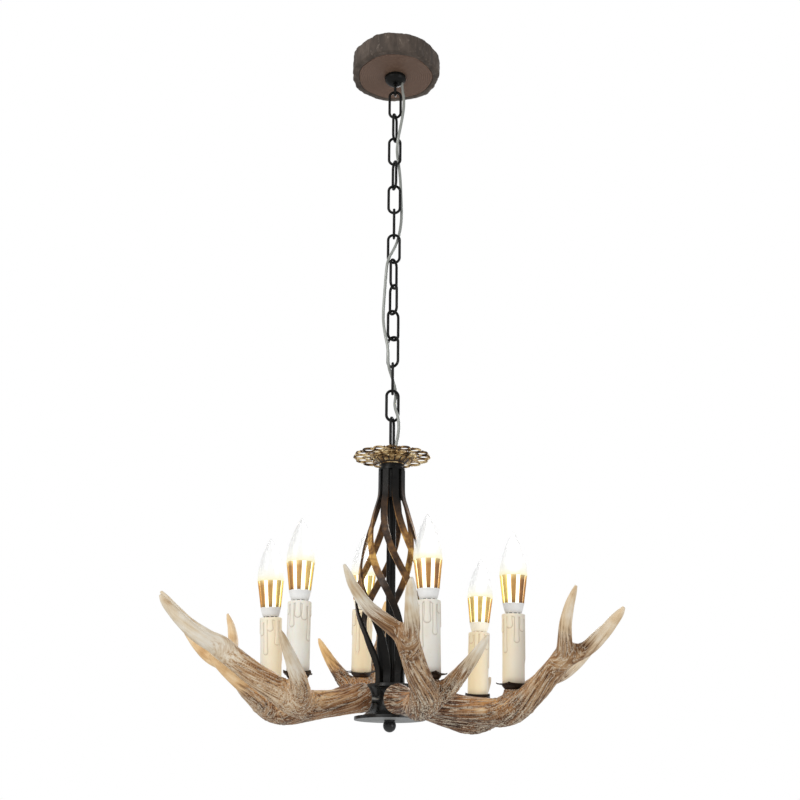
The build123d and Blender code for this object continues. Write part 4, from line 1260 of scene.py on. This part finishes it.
def bulb_base(lamplit):
    """Ringed screw cap, a dark ribbed ring at the neck as painted shadow, white collar with the
    lamp's glow painted on where lamplit, and the lit core above it.
    """
    base = Form()
    thread = [(0, COLLAR_FOOT - 28.0), (2.2, COLLAR_FOOT - 28.0),
              (2.6, COLLAR_FOOT - 26.6), (5.6, COLLAR_FOOT - 25.2)]
    for k in range(9):
        z = COLLAR_FOOT - 24.0 + 2.2 * k
        thread += [(6.85, z), (6.2, z + 1.1)]
    thread += [(6.85, COLLAR_FOOT - 3.6), (6.85, COLLAR_FOOT + 0.2), (0, COLLAR_FOOT + 0.2)]
    base.add(*lathe(thread, 48), 1)
    # painted shadow: a near-black ring with light ribs stands for the shade in the gap between
    # sleeve and collar
    neck = [(0, COLLAR_FOOT), (10.2, COLLAR_FOOT), (9.7, COLLAR_FOOT + 0.2),
            (9.7, COLLAR_FOOT + 1.1), (0, COLLAR_FOOT + 1.1)]
    base.add(*lathe(neck, 48), 3)
    for k in range(10):
        rib = block((1.1, 2.0, 1.1), (9.75, 0, COLLAR_FOOT + 0.58), 0.15)
        base.add(*rib, 0, turn("Z", 36 * k))
    collar = [(0, COLLAR_FOOT + 0.9), (10.3, COLLAR_FOOT + 0.9), (10.75, COLLAR_FOOT + 1.2),
              (12.3, COLLAR_FOOT + 6.0), (13.75, SINK_FOOT - 1.2),
              (14.15, SINK_FOOT - 0.5), (14.1, SINK_FOOT), (0, SINK_FOOT)]
    # painted light: lamplit collars get the lamp's glow painted on
    base.add(*lathe(collar, 72), warm=0.6 if lamplit else 0.05)
    light = [(0, SINK_FOOT - 0.2), (11.3, SINK_FOOT - 0.2), (11.5, SINK_FOOT + 1),
             (13.4, SINK_FOOT + 18), (15.4, GLASS_FOOT - 0.6), (14.0, GLASS_FOOT),
             (0, GLASS_FOOT + 0.6)]
    return base.add(*lathe(light, 48), 2)


def bulb_cage(number, place):
    """Eight bars that widen upward, with the other lamps' light painted lighter on the side
    facing them.
    """
    cage, rise = Form(), GLASS_FOOT - SINK_FOOT
    centre = place.inverted() @ Vector((0, 0, HUB_Z + 240))
    inward = atan2(centre.y, centre.x)
    for k in range(8):
        spin = 45.0 * k + 22.5
        verts, faces = block((2.4, 1.0, rise - 0.2), (0, 0, 0), 0.3)
        shaped = []
        for x, y, z in verts:
            share = z / rise + 0.5
            radius = 14.7 + (18.2 - 14.1) * (share - 0.5) + x
            swing = y * (5.6 + 1.2 * share) / 15.4
            shaped.append((radius * cos(swing), radius * sin(swing),
                           SINK_FOOT + rise / 2 + z))
        # painted light: tone rises on bars facing the other lamps, with a little random spread
        # from bar to bar
        facing = cos(radians(spin) - inward)
        tone = 0.6 + 0.32 * facing + 0.12 * sin(5.1 * k + 2.3 * number)
        lip = [(z - SINK_FOOT) / rise for x, y, z in shaped]
        cage.add(shaped, faces, 0, turn("Z", spin), tone=tone, lip=lip)
    return cage


def bulb_flame():
    """Thin-walled flame of glass, open where it stands on the bars."""
    height, steps = GLASS_TOP - GLASS_FOOT, 72
    outline = flame_outline(18.25, height, GLASS_FOOT) + [(0, GLASS_TOP)]
    inner = flame_outline(17.25, height - 2.0, GLASS_FOOT) + [(0, GLASS_TOP - 2.0)]
    verts, faces, rows = revolve(outline, steps)
    inside, inside_faces = lathe(inner, steps)
    count = len(verts)
    faces = [f for f, row in zip(faces, rows) if row < len(outline) - 1]
    faces += [tuple(i + count for i in f)
              for f, row in zip(inside_faces, rows) if row < len(outline) - 1]
    faces += [(i, (i + 1) % steps, count + (i + 1) % steps, count + i)
              for i in range(steps)]
    share = [(v[2] - GLASS_FOOT) / height for v in verts + inside]
    return Form().add(verts + inside, faces, height=share)


def make_bulbs(white, brass, cap_metal, core, glass, dark):
    for number, seat in SEATS.items():
        place = lamp_matrix(seat) @ turn("Z", seat.bulb)
        base = bulb_base(number in (4, 5))
        for form, name, finishes, angle, node, slot in (
                (base, "body", [white, cap_metal, core, dark], 40.0, "base", "bulb_white"),
                (bulb_cage(number, place), "cage", [brass], 35.0, "sink", "bulb_brass"),
                (bulb_flame(), "flame", [glass], 60.0, "glass", "bulb_glass")):
            piece = form.make(f"bulb_{name}_{number}", finishes, angle)
            in_place(piece, place)
            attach(piece, f"bulb_{number}")
            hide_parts(f"bulb_{node}_{number}")


# ---------------------------------------------------------------- stage

def add_floor():
    f = Finish("studio_floor", (0.86, 0.86, 0.85), Roughness=0.8)
    cloud = f.noise(f.place(), 1.5, 2.0)
    f.drive("Base Color", f.mix(cloud, (0.85, 0.85, 0.84), (0.88, 0.88, 0.87)))
    mesh = bpy.data.meshes.new("studio_floor")
    size, height = 12.0, -2.4
    mesh.from_pydata([(-size, -size, height), (size, -size, height),
                      (size, size, height), (-size, size, height)], [], [(0, 1, 2, 3)])
    mesh.materials.append(f.material)
    add_object("studio_floor", mesh)


# ---------------------------------------------------------------- the whole scene

bpy.context.scene.view_settings.view_transform = "Standard"
add_camera()
add_world()
middle = (0.0, 0.0, -0.75)
add_lamp("key_light", (-1.9, -2.3, 0.35), middle, 1.6, 42.0, (1.0, 0.98, 0.95))
add_lamp("fill_light", (2.3, -1.6, -1.0), middle, 1.6, 13.0, (0.97, 0.98, 1.0))
add_lamp("back_light", (0.6, 2.4, 0.3), middle, 1.4, 20.0, (1.0, 1.0, 1.0))

iron = iron_finish().material
zinc = steel_finish("zinc_steel", (0.62, 0.62, 0.6), 0.34, 160.0)
cap_metal = steel_finish("bulb_cap_metal", (0.7, 0.68, 0.62), 0.28, 160.0)
white = plastic_finish("bulb_white", (0.93, 0.93, 0.935), 0.45, True)
ivory = plastic_finish("holder_ivory", (0.76, 0.69, 0.55), 0.45)
connector = plastic_finish("connector_plastic", (0.74, 0.74, 0.71), 0.38)
# painted shadow: near-black finish for the ring that stands for the shade at the foot of each
# collar
dark = plastic_finish("painted_gap_shadow", (0.05, 0.045, 0.04), 0.6)

make_cable(cable_finish())
make_antlers(antler_finish())
make_canopy(wood_finish(), bark_finish())
make_terminal_block(connector, zinc)
make_crown(gold_finish())
make_sleeves(wax_finish())
make_pans(bronze_finish())
make_bulbs(white, brass_finish(), cap_metal, core_finish(), glass_finish(), dark)

links = [f"chain_link_{k:02d}" for k in range(1, LINK_COUNT + 1)]
for node in ["collar_loop", "body_loop", "neck_cap", "stem_tube"] + links:
    dress(node, iron)
enamel = iron_finish("black_enamel", 0.24, 0.36, 0.5).material
dress("hub_spool", enamel)
dress("ball_finial", enamel)
dress("basket_straps", strap_finish().material)
for node in ("ceiling_crossbar", "canopy_fixings", "neck_screw", "m10_nipples", "m10_nuts"):
    dress(node, zinc)
dress("hub_cover", cover_finish())
dress("splice_cap", connector)
dress("lamp_wires", connector)
dress("lamp_holders", ivory)
add_floor()
